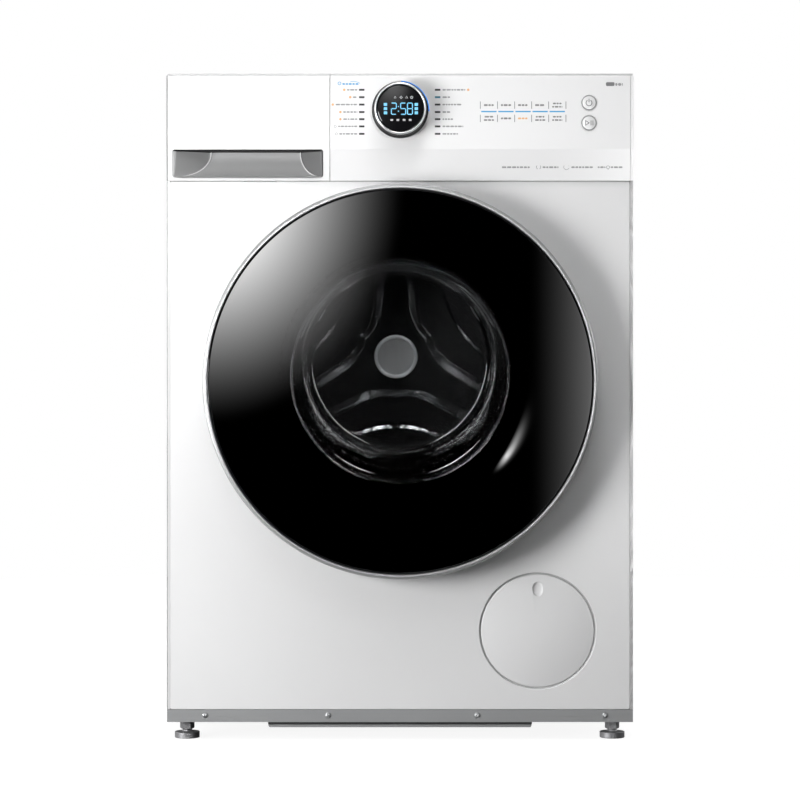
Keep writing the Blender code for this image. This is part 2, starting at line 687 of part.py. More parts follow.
def build_tub():
    centre = (0, DRUM_Z)
    profile = [
        (263, -40.2),
        (263, -49),
        (TUB_OUT, -51),
        (TUB_OUT, -183),
        (249, -190),
        (172, -190),
        (172, -208),
        (168, -208),
        (168, -185.5),
        (246.5, -185.5),
        (TUB_IN, -180),
        (TUB_IN, -40.2),
    ]
    plastic = (0.70, 0.71, 0.70)
    front = solid("tub_front", turn(profile, "Y", centre, 32), plastic)
    add(front, post(circle(FLAP_X, -150, 18, 14), 278))
    profile = [
        (263, -39.8),
        (263, -31),
        (TUB_OUT, -29),
        (TUB_OUT, 225),
        (249, 233),
        (46, 233),
        (44, 252),
        (26.4, 252),
        (26.4, 238.4),
        (31.4, 238.4),
        (31.4, 218),
        (46, 218),
        (46, 227.5),
        (246, 227.5),
        (TUB_IN, 221),
        (TUB_IN, -39.8),
    ]
    rear = solid("tub_rear", turn(profile, "Y", centre, 32), plastic)
    for sign in (1, -1):
        add(rear, post(rectangle(sign * SPRING_X, SPRING_Y, 16, 20), 672))
        add(rear, post(rectangle(sign * DAMPER_X, DAMPER_Y, 24, 30), 285))
    add(rear, post(circle(HOSE_X, HOSE_Y, 20, 14), 712))
    add(rear, post(rectangle(0, 150, 60, 100), 239))
    for x in (-30, 30):
        z = DRUM_Z - math.sqrt(246.8**2 - x**2)
        cut(rear, turn([(0, 215), (5.5, 215), (5.5, 240), (0, 240)], "Y", (x, z), 16))

    concrete = (0.55, 0.54, 0.51)
    outline = arc(0, DRUM_Z, 246, 25, 155, 18) + arc(0, DRUM_Z, 190, 155, 25, 18)
    solid("front_counterweight", prism(outline, "XZ", -226, -190.4), concrete, roughness=0.9)
    reach = math.degrees(math.asin(80 / 259.0))
    outline = arc(0, DRUM_Z, 259, 90 + reach, 90 - reach, 8) + [(80, 808), (74, 814), (-74, 814), (-80, 808)]
    solid("top_counterweight", prism(outline, "XZ", -24, 104), concrete, roughness=0.9)

    z = DRUM_Z - math.sqrt(246.8**2 - 30.0**2)
    bend = [(30 * math.cos(a), -60 - 18 * math.sin(a), z) for a in (math.pi * i / 6 for i in range(7))]
    path = [(30, 236, z)] + bend + [(-30, 236, z)]
    heater = solid("heater", sweep(path, 3.4, 8), STEEL, metallic=0.9)
    add(heater, box((-46, 233.4, z - 10), (46, 237, z + 14)))

    profile = [
        (0, 78),
        (40, 78),
        (56, 85),
        (58, 90),
        (58, 212),
        (52, 219),
        (20, 224),
        (5, 226),
        (5, 277),
        (0, 277),
    ]
    motor = solid("drive_motor", turn(profile, "Y", (0, MOTOR_Z), 20), (0.3, 0.31, 0.33), metallic=0.5)
    add(motor, box((-30, 101, 205), (30, 199, 238.7)))

    big = arc(0, DRUM_Z, PULLEY_R + 0.9, -24, 204, 24)
    small = arc(0, MOTOR_Z, MOTOR_PULLEY_R + 0.7, 204, 336, 8)
    big_out = arc(0, DRUM_Z, PULLEY_R + 3.4, -24, 204, 24)
    small_out = arc(0, MOTOR_Z, MOTOR_PULLEY_R + 3.2, 204, 336, 8)
    sections = []
    for (xi, zi), (xo, zo) in zip(big + small, big_out + small_out):
        sections.append([(xi, 260.5, zi), (xo, 260.5, zo), (xo, 270.5, zo), (xi, 270.5, zi)])
    solid("drive_belt", rings(sections, loop=True), DARK, roughness=0.8)

    profile = [(15.5, 223), (31, 223), (31, 238.1), (15.5, 238.1)]
    solid("front_bearing", turn(profile, "Y", centre, 20), STEEL, metallic=0.9)
    profile = [(12.95, 238.7), (26, 238.7), (26, 251.2), (12.95, 251.2)]
    solid("rear_bearing", turn(profile, "Y", centre, 20), STEEL, metallic=0.9)

    for name, sign in (("left", -1), ("right", 1)):
        x = sign * SPRING_X
        path = [(x, SPRING_Y, 672.4), (x, SPRING_Y, 684)]
        for i in range(57):
            a = 2 * math.pi * i / 8
            path.append((x + 14 * math.cos(a), SPRING_Y + 14 * math.sin(a), 692 + 100 * i / 56))
        path += [(x, SPRING_Y, 800), (x, SPRING_Y, 811.6)]
        solid(f"spring_{name}", sweep(path, 2.0, 5), STEEL, metallic=0.9)
        x = sign * DAMPER_X
        profile = [(0, 26.3), (22, 26.3), (22, 30), (17, 34), (17, 170), (7.5, 170), (7.5, 60), (0, 60)]
        solid(f"damper_body_{name}", turn(profile, "Z", (x, DAMPER_Y), 14), DARK)
        profile = [(0, 120), (6, 120), (6, 262), (11, 264), (11, 284.6), (0, 284.6)]
        solid(f"damper_rod_{name}", turn(profile, "Z", (x, DAMPER_Y), 14), LIGHT_GREY)


def star(size):
    """Outline of the three-armed boss on the drum's back: arms at 90, 210 and 330 degrees."""
    points = []
    for arm in (90, 210, 330):
        a = math.radians(arm)
        along = Vector((math.cos(a), math.sin(a)))
        across = Vector((math.sin(a), -math.cos(a)))
        for reach, half in ((60, 27), (85, 21), (115, 18), (150, 16), (196, 15)):
            points.append(along * (reach - (1 - size) * 8 * (reach > 190)) + across * (half - (1 - size) * 8))
        for reach, half in ((196, 15), (150, 16), (115, 18), (85, 21), (60, 27)):
            points.append(along * (reach - (1 - size) * 8 * (reach > 190)) - across * (half - (1 - size) * 8))
    return [(p.x, DRUM_Z + p.y) for p in points]


def build_drum():
    centre = (0, DRUM_Z)
    pivot = (0, 0, DRUM_Z)
    profile = [
        (170, -170),
        (172, -176),
        (232, -173.4),
        (DRUM_R, -165),
        (DRUM_R, 190),
        (238.4, 190),
        (238.4, -164.4),
        (231.3, -171.8),
        (173.2, -174.3),
        (171.8, -170),
    ]
    solid("drum_shell", turn(profile, "Y", centre, 40), STEEL, pivot, 1.0, 0.3)
    profile = [(0, 186), (231, 186), (235.6, 174), (237.4, 174), (237.4, 189.7), (0, 189.7)]
    back = solid("drum_back", turn(profile, "Y", centre, 40), STEEL, pivot, 1.0, 0.3)
    sections = [[(x, y, z) for x, z in star(s)] for y, s in ((188, 1.0), (180, 1.0), (175.6, 0.5))]
    add(back, rings(sections))
    profile = [(0, 171.5), (30, 171.5), (33.5, 172.4), (33.5, 175.2), (0, 175.2)]
    solid("drum_hub_cap", turn(profile, "Y", centre, 32), LIGHT_GREY, pivot, 0.9, 0.35)

    for index, arm in enumerate((30, 150, 270)):
        a = math.radians(arm)
        out = Vector((math.cos(a), math.sin(a)))
        across = Vector((-math.sin(a), math.cos(a)))
        sections = []
        for y, width, height in ((-158, 0.55, 0.25), (-140, 0.9, 0.85), (-120, 1.0, 1.0), (172, 1.0, 1.0)):
            ring = []
            for offset, rise in ((-26, 0), (-17, 22), (-9, 40), (0, 45), (9, 40), (17, 22), (26, 0)):
                p = out * (234.5 - rise * height) + across * (offset * width)
                ring.append((p.x, y, DRUM_Z + p.y))
            sections.append(ring)
        solid(f"lifter_{index + 1}", rings(sections), (0.75, 0.77, 0.78), pivot)

    profile = [(0, 190.2), (40, 190.2), (40, 206), (30, 214), (15, 214), (15, 238.3)]
    profile += [(12.5, 238.3), (12.5, 277), (0, 277)]
    spider = solid("drum_spider", turn(profile, "Y", centre, 20), (0.55, 0.56, 0.57), pivot, 0.8, 0.5)
    for arm in (90, 210, 330):
        a = math.radians(arm)
        out = Vector((math.cos(a), math.sin(a)))
        across = Vector((-math.sin(a), math.cos(a)))
        sections = []
        for reach, half, deep in ((20, 20, 20), (120, 17, 16), (233, 14, 9)):
            corners = ((-half, 190.4), (half, 190.4), (half, 190.4 + deep), (-half, 190.4 + deep))
            ring = []
            for side, y in corners:
                p = out * reach + across * side
                ring.append((p.x, y, DRUM_Z + p.y))
            sections.append(ring)
        add(spider, rings(sections))

    profile = [
        (12.9, 256),
        (26, 256),
        (26, 263),
        (136, 263),
        (136, 257),
        (PULLEY_R, 257),
        (PULLEY_R, 274),
        (136, 274),
        (136, 267),
        (26, 267),
        (26, 276),
        (12.9, 276),
    ]
    pulley = solid("drum_pulley", turn(profile, "Y", centre, 36), (0.5, 0.51, 0.52), pivot, 0.8, 0.5)
    for i in range(6):
        a = math.radians(60 * i)
        at = (82 * math.cos(a), DRUM_Z + 82 * math.sin(a))
        cut(pulley, turn([(0, 250), (30, 250), (30, 280), (0, 280)], "Y", at, 10))

    profile = [
        (5.4, 258),
        (14, 258),
        (14, 259.6),
        (MOTOR_PULLEY_R, 260),
        (MOTOR_PULLEY_R, 271),
        (14, 271.4),
        (14, 273),
        (5.4, 273),
    ]
    pivot = (0, 265.5, MOTOR_Z)
    solid("motor_pulley", turn(profile, "Y", (0, MOTOR_Z), 16), STEEL, pivot, 0.9, 0.4)


def finish():
    for obj in bpy.context.scene.objects:
        mesh = obj.data
        bm = bmesh.new()
        bm.from_mesh(mesh)
        bmesh.ops.dissolve_degenerate(bm, dist=2e-7, edges=bm.edges[:])
        bmesh.ops.triangulate(bm, faces=[f for f in bm.faces if len(f.verts) > 4])
        bm.to_mesh(mesh)
        bm.free()
        mesh.shade_smooth()
        mesh.set_sharp_from_angle(angle=math.radians(32))


clear_scene()
build_cabinet()
build_controls()
build_drawer()
build_service()
build_door()
build_tub()
build_drum()
finish()
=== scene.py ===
"""Looks of the front-loading washing machine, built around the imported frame."""

from itertools import product
from math import copysign, cos, degrees, exp, hypot, log, pi, radians, sin, sqrt

import bmesh
import bpy
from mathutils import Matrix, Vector


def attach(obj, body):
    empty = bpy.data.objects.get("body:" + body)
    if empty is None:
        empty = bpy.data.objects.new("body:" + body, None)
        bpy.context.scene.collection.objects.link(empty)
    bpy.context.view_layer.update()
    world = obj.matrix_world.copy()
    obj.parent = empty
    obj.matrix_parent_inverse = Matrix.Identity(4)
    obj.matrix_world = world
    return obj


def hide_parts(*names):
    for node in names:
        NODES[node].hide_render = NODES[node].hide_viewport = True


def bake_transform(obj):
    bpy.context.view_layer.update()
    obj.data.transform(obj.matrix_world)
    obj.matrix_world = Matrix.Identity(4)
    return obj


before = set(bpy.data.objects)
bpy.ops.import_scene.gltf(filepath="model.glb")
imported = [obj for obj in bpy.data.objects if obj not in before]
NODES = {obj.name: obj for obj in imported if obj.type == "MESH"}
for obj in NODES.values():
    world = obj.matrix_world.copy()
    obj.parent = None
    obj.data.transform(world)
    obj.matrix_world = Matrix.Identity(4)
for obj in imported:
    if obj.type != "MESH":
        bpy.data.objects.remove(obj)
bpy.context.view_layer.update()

MM = 0.001

# Places that the frame fixes, in millimetres: axes first, then planes and folds
DOOR_Z = 457.4
PORT_Z = 468
DRUM_Z = 500
DIAL_Z = 803
FLAP_X, FLAP_Z = 175.7, 139.4
KEY_X, KEY_FACE = 240.5, -266.9
SHEET_Y, REAR_Y = -260, 296.5
FACE, FASCIA_LOW, FASCIA_BACK = -266, -262.5, -260.4
FASCIA_Z0, CREASE_Z, FASCIA_Z1 = 713.2, 753.5, 847.2
SPLIT_X = -89.3

# Shapes that only the looks have, in millimetres and degrees
PANE_RADIUS, PANE_FLAT, PANE_FRONT = 242.6, 240.6, -304.4
GLINT_RADIUS, GLINT_ANGLE = 156.5, -34
WALL_RADIUS, RIDGE_HEIGHT = 124, 0.6
RIDGES = (-190, -206, -224, -245)
ARMS, POCKETS = (90, 210, 330), (30, 150, 270)
DRUM_BACK, DRUM_INSIDE = 189.7, 238.2
DISPLAY_Y, DISPLAY_Z = -287, DIAL_Z - 0.6
MARK_RISE, MARK_SINK, GLOW_RISE = 0.12, 0.2, 0.35
SCOOP_LEFT, SCOOP_RIGHT = -290, -98
SCOOP_LOW, SCOOP_HIGH, SCOOP_CORNER = 718, 753, 2.7
LEAN_LEFT, LEAN_RIGHT = 2.3, 1.4

# The studio, in metres
FLOOR_RADIUS = 2.6
CAMERA = (-0.045, -3.26, 0.434)
CARD_Y = -3.32


# Materials


def fill(node, values):
    for name, value in values.items():
        node.inputs[name].default_value = value


def add(tree, kind, values=None, **settings):
    """Adds a shader node with these settings and fixed input values."""
    made = tree.nodes.new("ShaderNode" + kind)
    for name, value in settings.items():
        setattr(made, name, value)
    fill(made, values or {})
    return made


def ramp_node(tree, *ends):
    """A colour ramp between two (position, colour) ends."""
    ramp = add(tree, "ValToRGB")
    for element, (position, colour) in zip(ramp.color_ramp.elements, ends):
        element.position = position
        element.color = (*colour, 1.0)
    return ramp


def join(tree, *steps):
    """Links each (node, output, node, input)."""
    for source, output, target, into in steps:
        tree.links.new(source.outputs[output], target.inputs[into])


def distance_node(tree, placing, kept=(1.0, 0.0, 1.0), **settings):
    """The distance from the object's origin as a mapping moves it, along the axes that are kept."""
    coords = add(tree, "TexCoord")
    centred = add(tree, "Mapping", placing, **settings)
    plane = add(tree, "VectorMath", {1: kept}, operation="MULTIPLY")
    length = add(tree, "VectorMath", operation="LENGTH")
    join(tree, (coords, "Object", centred, "Vector"))
    join(tree, (centred, "Vector", plane, 0), (plane, "Vector", length, 0))
    return length


def material(
    name, colour, roughness=0.4, metallic=0.0, vary=0.03, vary_scale=6, grain=(0.0, 900),
    stretch=(1.0, 1.0, 1.0), rough_vary=0.08, coat=0.0, coat_roughness=0.12, transmission=0.0, ior=1.5,
    emission=0.0
):
    """Principled shader with colour drift, uneven roughness and a fine bump. grain is (height, scale)."""
    height, fineness = grain
    mat = bpy.data.materials.new(name)
    mat.use_nodes = True
    tree = mat.node_tree
    shader = tree.nodes["Principled BSDF"]
    coords = add(tree, "TexCoord")
    mapping = add(tree, "Mapping", {"Scale": stretch})
    broad = add(tree, "TexNoise", {"Scale": vary_scale, "Detail": 3})
    fine = add(tree, "TexNoise", {"Scale": fineness, "Detail": 2})
    low = [max(0.0, c * (1.0 - vary)) for c in colour]
    high = [min(1.0, c * (1.0 + vary)) for c in colour]
    drift = ramp_node(tree, (0.35, low), (0.65, high))
    rough_low = max(0.01, roughness * (1.0 - rough_vary))
    rough_high = min(1.0, roughness * (1.0 + rough_vary))
    spread = add(tree, "MapRange", {"To Min": rough_low, "To Max": rough_high})
    join(
        tree,
        (coords, "Object", mapping, "Vector"),
        (mapping, "Vector", broad, "Vector"),
        (mapping, "Vector", fine, "Vector"),
        (broad, "Fac", drift, "Fac"),
        (drift, "Color", shader, "Base Color"),
        (fine, "Fac", spread, "Value"),
        (spread, "Result", shader, "Roughness"),
    )
    if height:
        bump = add(tree, "Bump", {"Strength": 1.0, "Distance": height * MM})
        join(tree, (fine, "Fac", bump, "Height"), (bump, "Normal", shader, "Normal"))
    fill(shader, {"Metallic": metallic, "IOR": ior, "Transmission Weight": transmission})
    fill(shader, {"Coat Weight": coat, "Coat Roughness": coat_roughness})
    if emission:
        fill(shader, {"Emission Color": (*colour, 1.0), "Emission Strength": emission})
    return mat


ENAMEL = material("white_enamel", (0.84, 0.84, 0.845), 0.36, vary=0.008, grain=(0.004, 260), coat=0.1)
# The shell's enamel is a greyer white than the front sheet's: painted shade on its sideways-facing edges
SHADED_SHELL_WHITE = material("side_enamel_painted_shade", (0.74, 0.74, 0.745), 0.34, vary=0.008, grain=(0.004, 260), coat=0.2)
PANEL_WHITE = material(
    "white_moulding", (0.92, 0.92, 0.925), 0.38, vary=0.006, grain=(0.003, 900), coat=0.7, coat_roughness=0.1
)
SATIN_WHITE = material("satin_white", (0.85, 0.85, 0.855), 0.5, vary=0.006, grain=(0.003, 900))
GROOVE_SHADE_GREY = material("edge_grey", (0.52, 0.52, 0.525), 0.4, vary=0.02, grain=(0.004, 900))
TOP_EDGE_SHADE_GREY = material("top_edge_painted_shade", (0.59, 0.59, 0.592), 0.4, vary=0.02, grain=(0.004, 900))
GALVANISED = material("galvanised", (0.55, 0.56, 0.57), 0.42, 0.85, vary=0.08, vary_scale=60, rough_vary=0.3)
BASE_GREY = material("base_grey", (0.30, 0.305, 0.31), 0.5, vary=0.04, grain=(0.02, 1400))
SCOOP_GREY = material("scoop_grey", (0.40, 0.402, 0.405), 0.42, grain=(0.02, 1800))
# Grey of the grip's right end face, darker than the rest of the scoop: painted shade
SCOOP_SHADE = material("scoop_painted_shade", (0.085, 0.085, 0.087), 0.42, grain=(0.02, 1800))
BLACK = material("black_plastic", (0.012, 0.012, 0.013), 0.35, vary=0.2, grain=(0.008, 2400))
DIAL_BLACK = material("dial_black", (0.008, 0.008, 0.009), 0.16, vary=0.2)
BLACK_GLOSS = material("black_gloss", (0.004, 0.004, 0.005), 0.05, vary=0.2)
RUBBER = material("grey_rubber", (0.20, 0.205, 0.21), 0.55, vary=0.08, vary_scale=30, grain=(0.03, 1500))
DARK_RUBBER = material("dark_rubber", (0.02, 0.02, 0.02), 0.65, vary=0.2, grain=(0.03, 1500))
CHROME = material("satin_chrome", (0.80, 0.81, 0.82), 0.30, 1.0, vary=0.02, rough_vary=0.05)
RING_SILVER = material("ring_silver", (0.44, 0.445, 0.45), 0.34, 0.6, rough_vary=0.05)
STEEL = material("drum_steel", (0.36, 0.365, 0.37), 0.2, 1.0, vary=0.06, vary_scale=9, stretch=(1, 30, 1))
# The back plate's steel is darker than the wall's: painted shade for the dim back of the drum
SHADED_BACK_STEEL = material("drum_back_steel_painted_shade", (0.16, 0.161, 0.163), 0.2, 1.0, vary=0.06, vary_scale=9)
HUB = material("hub_metal", (0.15, 0.151, 0.153), 0.5, 0.7, vary=0.08, vary_scale=30, stretch=(9, 1, 1))
HUB_RIM = material("hub_rim_metal", (0.38, 0.384, 0.388), 0.4, 0.8, vary=0.05)
CAST = material("cast_aluminium", (0.50, 0.51, 0.52), 0.5, 0.9, vary=0.12, vary_scale=40, grain=(0.12, 420))
ZINC = material("zinc_steel", (0.58, 0.59, 0.60), 0.34, 0.95, vary=0.12, vary_scale=80, rough_vary=0.3)
FOOT = material("foot_metal", (0.30, 0.30, 0.31), 0.42, 0.6, vary=0.12, vary_scale=120, grain=(0.01, 900))
TUB = material("tub_plastic", (0.62, 0.63, 0.62), 0.55, vary=0.05, grain=(0.05, 600))
TRAY = material("tray_plastic", (0.70, 0.74, 0.78), 0.35, grain=(0.01, 1200))
CONCRETE = material("concrete", (0.40, 0.39, 0.37), 0.9, vary=0.22, vary_scale=70, grain=(0.6, 260))
MOTOR = material("motor_shell", (0.16, 0.165, 0.175), 0.45, 0.6, vary=0.12, vary_scale=40, grain=(0.04, 500))
BOARD = material(
    "circuit_board", (0.02, 0.12, 0.06), 0.35, vary=0.4, vary_scale=140, grain=(0.02, 900), coat=0.4
)
BLUE = material("blue_plastic", (0.03, 0.12, 0.30), 0.4, vary=0.08, grain=(0.02, 1500))
PALE = material("pale_plastic", (0.66, 0.67, 0.66), 0.5, vary=0.04, grain=(0.03, 800))
LIFTER = material("lifter_plastic", (0.20, 0.203, 0.206), 0.45, vary=0.05, grain=(0.03, 800))
INK_DARK_AND_GAP_SHADE = material("ink_dark", (0.006, 0.006, 0.007), 0.5, vary=0.1)
INK_GREY = material("ink_grey", (0.20, 0.20, 0.205), 0.5, vary=0.1)
INK_PALE = material("ink_pale", (0.33, 0.33, 0.335), 0.5, vary=0.06)
INK_ORANGE = material("ink_orange", (0.88, 0.50, 0.22), 0.5, vary=0.06)
INK_BLUE = material("ink_blue", (0.03, 0.36, 0.70), 0.5, vary=0.06)
INK_TEAL = material("ink_teal", (0.02, 0.20, 0.30), 0.5, vary=0.06)
LED_BLUE = material("led_blue", (0.13, 0.42, 0.62), 0.4, emission=0.6)
LED_DEEP = material("led_deep", (0.0, 0.25, 0.90), 0.6, emission=0.7)
LED_WHITE = material("led_white", (0.42, 0.42, 0.43), 0.4, emission=0.3)
LED_GREY = material("led_grey", (0.36, 0.37, 0.38), 0.4, emission=0.15)


def shaded_glass(name, centre_z, clear, dark, start, end, ior):
    """Glass whose tint changes with the distance from an axis along Y at this height."""
    mat = material(name, clear, 0.02, vary=0.0, rough_vary=0.05, transmission=1.0, ior=ior)
    tree = mat.node_tree
    length = distance_node(tree, {"Location": (0.0, 0.0, -centre_z * MM)})
    ramp = ramp_node(tree, (start * MM, clear), (end * MM, dark))
    shader = tree.nodes["Principled BSDF"]
    join(tree, (length, "Value", ramp, "Fac"), (ramp, "Color", shader, "Base Color"))
    return mat


# The door pane is printed black outside the window. The bowl is clear in its end, and its side wall is tinted
# dark as painted shade.
SMOKED = shaded_glass("smoked_glass", PORT_Z, (0.62, 0.63, 0.64), (0.0, 0.0, 0.0), 141, 150, 1.5)
BOWL = shaded_glass("bowl_glass", 487, (0.93, 0.94, 0.94), (0.02, 0.02, 0.021), 124, 130, 1.47)


# Mesh tools


def place(name, data):
    obj = bpy.data.objects.new(name, data)
    bpy.context.scene.collection.objects.link(obj)
    return obj


def as_mesh(name, bm):
    mesh = bpy.data.meshes.new(name)
    bm.to_mesh(mesh)
    bm.free()
    return mesh


def mesh_of(name, bm):
    """The mesh of a shape drawn in millimetres."""
    bmesh.ops.recalc_face_normals(bm, faces=bm.faces)
    for vert in bm.verts:
        vert.co *= MM
    return as_mesh(name, bm)


def shade(mesh, angle):
    mesh.shade_smooth()
    mesh.set_sharp_from_angle(angle=radians(angle))


def piece(name, bm, mat, body, replaces=(), angle=30, bevel=0.0):
    """A new object from a mesh drawn in millimetres, riding on a CAD body."""
    bmesh.ops.remove_doubles(bm, verts=bm.verts, dist=1e-4)
    mesh = mesh_of(name, bm)
    for one in mat if isinstance(mat, tuple) else (mat,):
        mesh.materials.append(one)
    shade(mesh, angle)
    obj = place(name, mesh)
    if bevel:
        soften(obj, bevel)
    if body:
        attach(obj, body)
    if replaces:
        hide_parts(*replaces)
    return obj


def soften(obj, width, segments=2):
    mod = obj.modifiers.new("soft_edges", "BEVEL")
    mod.width = width * MM
    mod.segments = segments
    mod.limit_method = "ANGLE"
    mod.angle_limit = radians(32)
    mod.harden_normals = True


def angles(count):
    return [2 * pi * i / count for i in range(count)]


def polar(x, z, radius, a):
    return (x + radius * cos(a), z + radius * sin(a))


def rings(sections, loop=False, cap=True):
    """A skin over rings of points. A ring whose points all meet becomes one point."""
    bm = bmesh.new()
    rows = []
    for section in sections:
        tip = max((Vector(p) - Vector(section[0])).length for p in section) < 1e-9
        rows.append([bm.verts.new(p) for p in (section[:1] if tip else section)])
    pairs = list(zip(rows, rows[1:]))
    if loop:
        pairs.append((rows[-1], rows[0]))
    for a, b in pairs:
        count = max(len(a), len(b))
        if count == 1:
            continue
        for i in range(count):
            j = (i + 1) % count
            bm.faces.new(list(dict.fromkeys([a[i % len(a)], a[j % len(a)], b[j % len(b)], b[i % len(b)]])))
    if cap and not loop:
        for row in (rows[0], rows[-1]):
            if len(row) > 2:
                bm.faces.new(row)
    return bm


def turn(profile, centre, segments=128, axis="Y"):
    """Revolves (radius, along) points. centre is (x, z), or a function of radius and y that gives it."""
    sections = []
    for r, t in profile:
        x, z = centre(r, t) if callable(centre) else centre
        ring = [polar(x, z, r, a) for a in angles(segments)]
        sections.append([(p, t, q) if axis == "Y" else (p, q, t) for p, q in ring])
    return rings(sections, loop=profile[0][0] > 0 or profile[-1][0] > 0)


def prism(points, plane, low, high):
    """Points of a plane, drawn out along the third axis."""
    sections = []
    for t in (low, high):
        sections.append([{"XY": (a, b, t), "XZ": (a, t, b), "YZ": (t, a, b)}[plane] for a, b in points])
    return rings(sections)


def box(low, high):
    (x0, y0, z0), (x1, y1, z1) = low, high
    return prism([(x0, z0), (x1, z0), (x1, z1), (x0, z1)], "XZ", y0, y1)


def merge(*parts):
    """One mesh from several, which may overlap."""
    out = bmesh.new()
    for part in parts:
        temp = as_mesh("temp", part)
        out.from_mesh(temp)
        bpy.data.meshes.remove(temp)
    return out


def evaluated(obj):
    """A new mesh of the object with its modifiers applied."""
    graph = bpy.context.evaluated_depsgraph_get()
    return bpy.data.meshes.new_from_object(obj.evaluated_get(graph))


def cut(obj, bm, operation="DIFFERENCE"):
    tool = place("cutter", mesh_of("cutter", bm))
    mod = obj.modifiers.new("cut", "BOOLEAN")
    mod.operation = operation
    mod.solver = "EXACT"
    mod.object = tool
    new = evaluated(obj)
    obj.modifiers.remove(mod)
    obj.data = new
    bpy.data.objects.remove(tool, do_unlink=True)
    shade(new, 30)


def rounded(x0, z0, x1, z1, radius, steps=6):
    points = []
    for x, z, start in ((x1, z0, -90), (x1, z1, 0), (x0, z1, 90), (x0, z0, 180)):
        cx = x - copysign(radius, x - (x0 + x1) / 2)
        cz = z - copysign(radius, z - (z0 + z1) / 2)
        for i in range(steps + 1):
            points.append(polar(cx, cz, radius, radians(start + 90 * i / steps)))
    return points


def sweep(path, radius, sides=10, loop=False):
    points = [Vector(p) for p in path]
    count = len(points)
    sections = []
    normal = None
    for i, p in enumerate(points):
        ahead = points[(i + 1) % count] if loop or i + 1 < count else p
        behind = points[i - 1] if loop or i else p
        direction = (ahead - behind).normalized()
        if normal is None:
            normal = direction.orthogonal().normalized()
        normal = (normal - direction * normal.dot(direction)).normalized()
        other = direction.cross(normal)
        turned = [normal * cos(a) + other * sin(a) for a in angles(sides)]
        sections.append([p + across * radius for across in turned])
    return rings(sections, loop)


def smooth(points, steps=6):
    """Catmull-Rom through the points of an open profile."""
    out = []
    last = len(points) - 1
    for i in range(last):
        near = [points[min(max(i + k, 0), last)] for k in (-1, 0, 1, 2)]
        for t in (k / steps for k in range(steps)):
            spot = []
            for a, b, c, d in zip(*near):
                bend = (2 * a - 5 * b + 4 * c - d) * t * t + (3 * b - a - 3 * c + d) * t**3
                spot.append(0.5 * (2 * b + (c - a) * t + bend))
            out.append(tuple(spot))
    return out + [points[-1]]


def step(x):
    """Smooth step from 0 to 1."""
    x = min(1.0, max(0.0, x))
    return x * x * (3 - 2 * x)


# Door


def frame_centre(radius, y):
    """The frame runs round the door outside and round the port inside."""
    return (0.0, PORT_Z if radius < 200 else DOOR_Z)


def rising(rise, front, back):
    """An axis that climbs from the port's centre between two depths."""
    return lambda radius, y: (0.0, PORT_Z + rise * min(1.0, max(0.0, (y - front) / (back - front))))


def ridged(points):
    """Adds narrow moulded ridges round the side wall of the glass bowl, where they catch the light."""
    out = [points[0]]
    for (r0, y0), (r1, y1) in zip(points, points[1:]):
        count = max(1, round((r0 > WALL_RADIUS) * hypot(r1 - r0, y1 - y0) / 0.6))
        for i in range(1, count + 1):
            r, y = r0 + (r1 - r0) * i / count, y0 + (y1 - y0) * i / count
            lift = sum(exp(-(((y - ridge) / 1.2) ** 2)) for ridge in RIDGES)
            out.append((r - RIDGE_HEIGHT * lift * (r > WALL_RADIUS), y))
    return out


def door_pane():
    """The pane is flat with a rolled edge, and one low swelling in it carries the curved glint."""
    around = angles(192)
    glint = radians(GLINT_ANGLE)
    sections = []
    for i in range(101):
        r = PANE_RADIUS * (i / 100) ** 0.8
        y = PANE_FRONT + 3.6 * max(0.0, (r - PANE_FLAT) / 2) ** 2
        ring = []
        for a in around:
            off = (a - glint + pi) % (2 * pi) - pi
            rise = 0.62 * exp(-(((r - GLINT_RADIUS) / 9) ** 2) - (off / 0.25) ** 2)
            x, z = polar(0.0, DOOR_Z, r, a)
            ring.append((x, y - rise, z))
        sections.append(ring)
    for r, y in ((PANE_RADIUS, -297.2), (220, -300.6), (0, -300.6)):
        sections.append([(x, y, z) for x, z in (polar(0.0, DOOR_Z, r, a) for a in around)])
    piece("door_glass", rings(sections), SMOKED, "door", ["door_outer_glass"], 40)


def door_rim():
    """The silver ring and the frame behind the pane, both cut away for the hinge."""
    profile = [(243.1, -300.9), (243.5, -301.9), (244.4, -302.6), (246.2, -302.7), (247.8, -302.1)]
    profile += [(248.9, -300.7), (249.4, -298.4), (249.5, -296), (249.2, -292.5), (248.6, -290.2)]
    profile += [(247, -288.5), (243.1, -288.5)]
    ring = turn(profile, (0.0, DOOR_Z), 192)
    ring = piece("door_trim_ring", ring, RING_SILVER, "door", ["door_ring"], 50)
    profile = [(149, -264), (237, -264), (239.5, -267.5), (243, -276), (245.4, -285), (246, -288.2)]
    profile += [(242.6, -288.2), (242.6, -295.4), (239.4, -296.2), (239.4, -277), (234.5, -270.6)]
    profile += [(161, -270.6), (161, -294.2), (158, -294.2), (158, -270.6), (149, -270.6)]
    frame_mesh = turn(profile, frame_centre, 160)
    body = piece("door_back_frame", frame_mesh, BLACK, "door", ["door_inner_frame"])
    pocket = [(-262, -296), (-229, -296), (-225.5, -290), (-225.5, -259), (-262, -259)]
    for obj in (ring, body):
        cut(obj, prism(pocket, "XY", DOOR_Z - 29, DOOR_Z + 29))
    cut(body, prism(rounded(222, DOOR_Z - 50, 262, DOOR_Z + 50, 8), "XZ", -284, -262))
    for obj in (ring, body):
        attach(obj, "door")


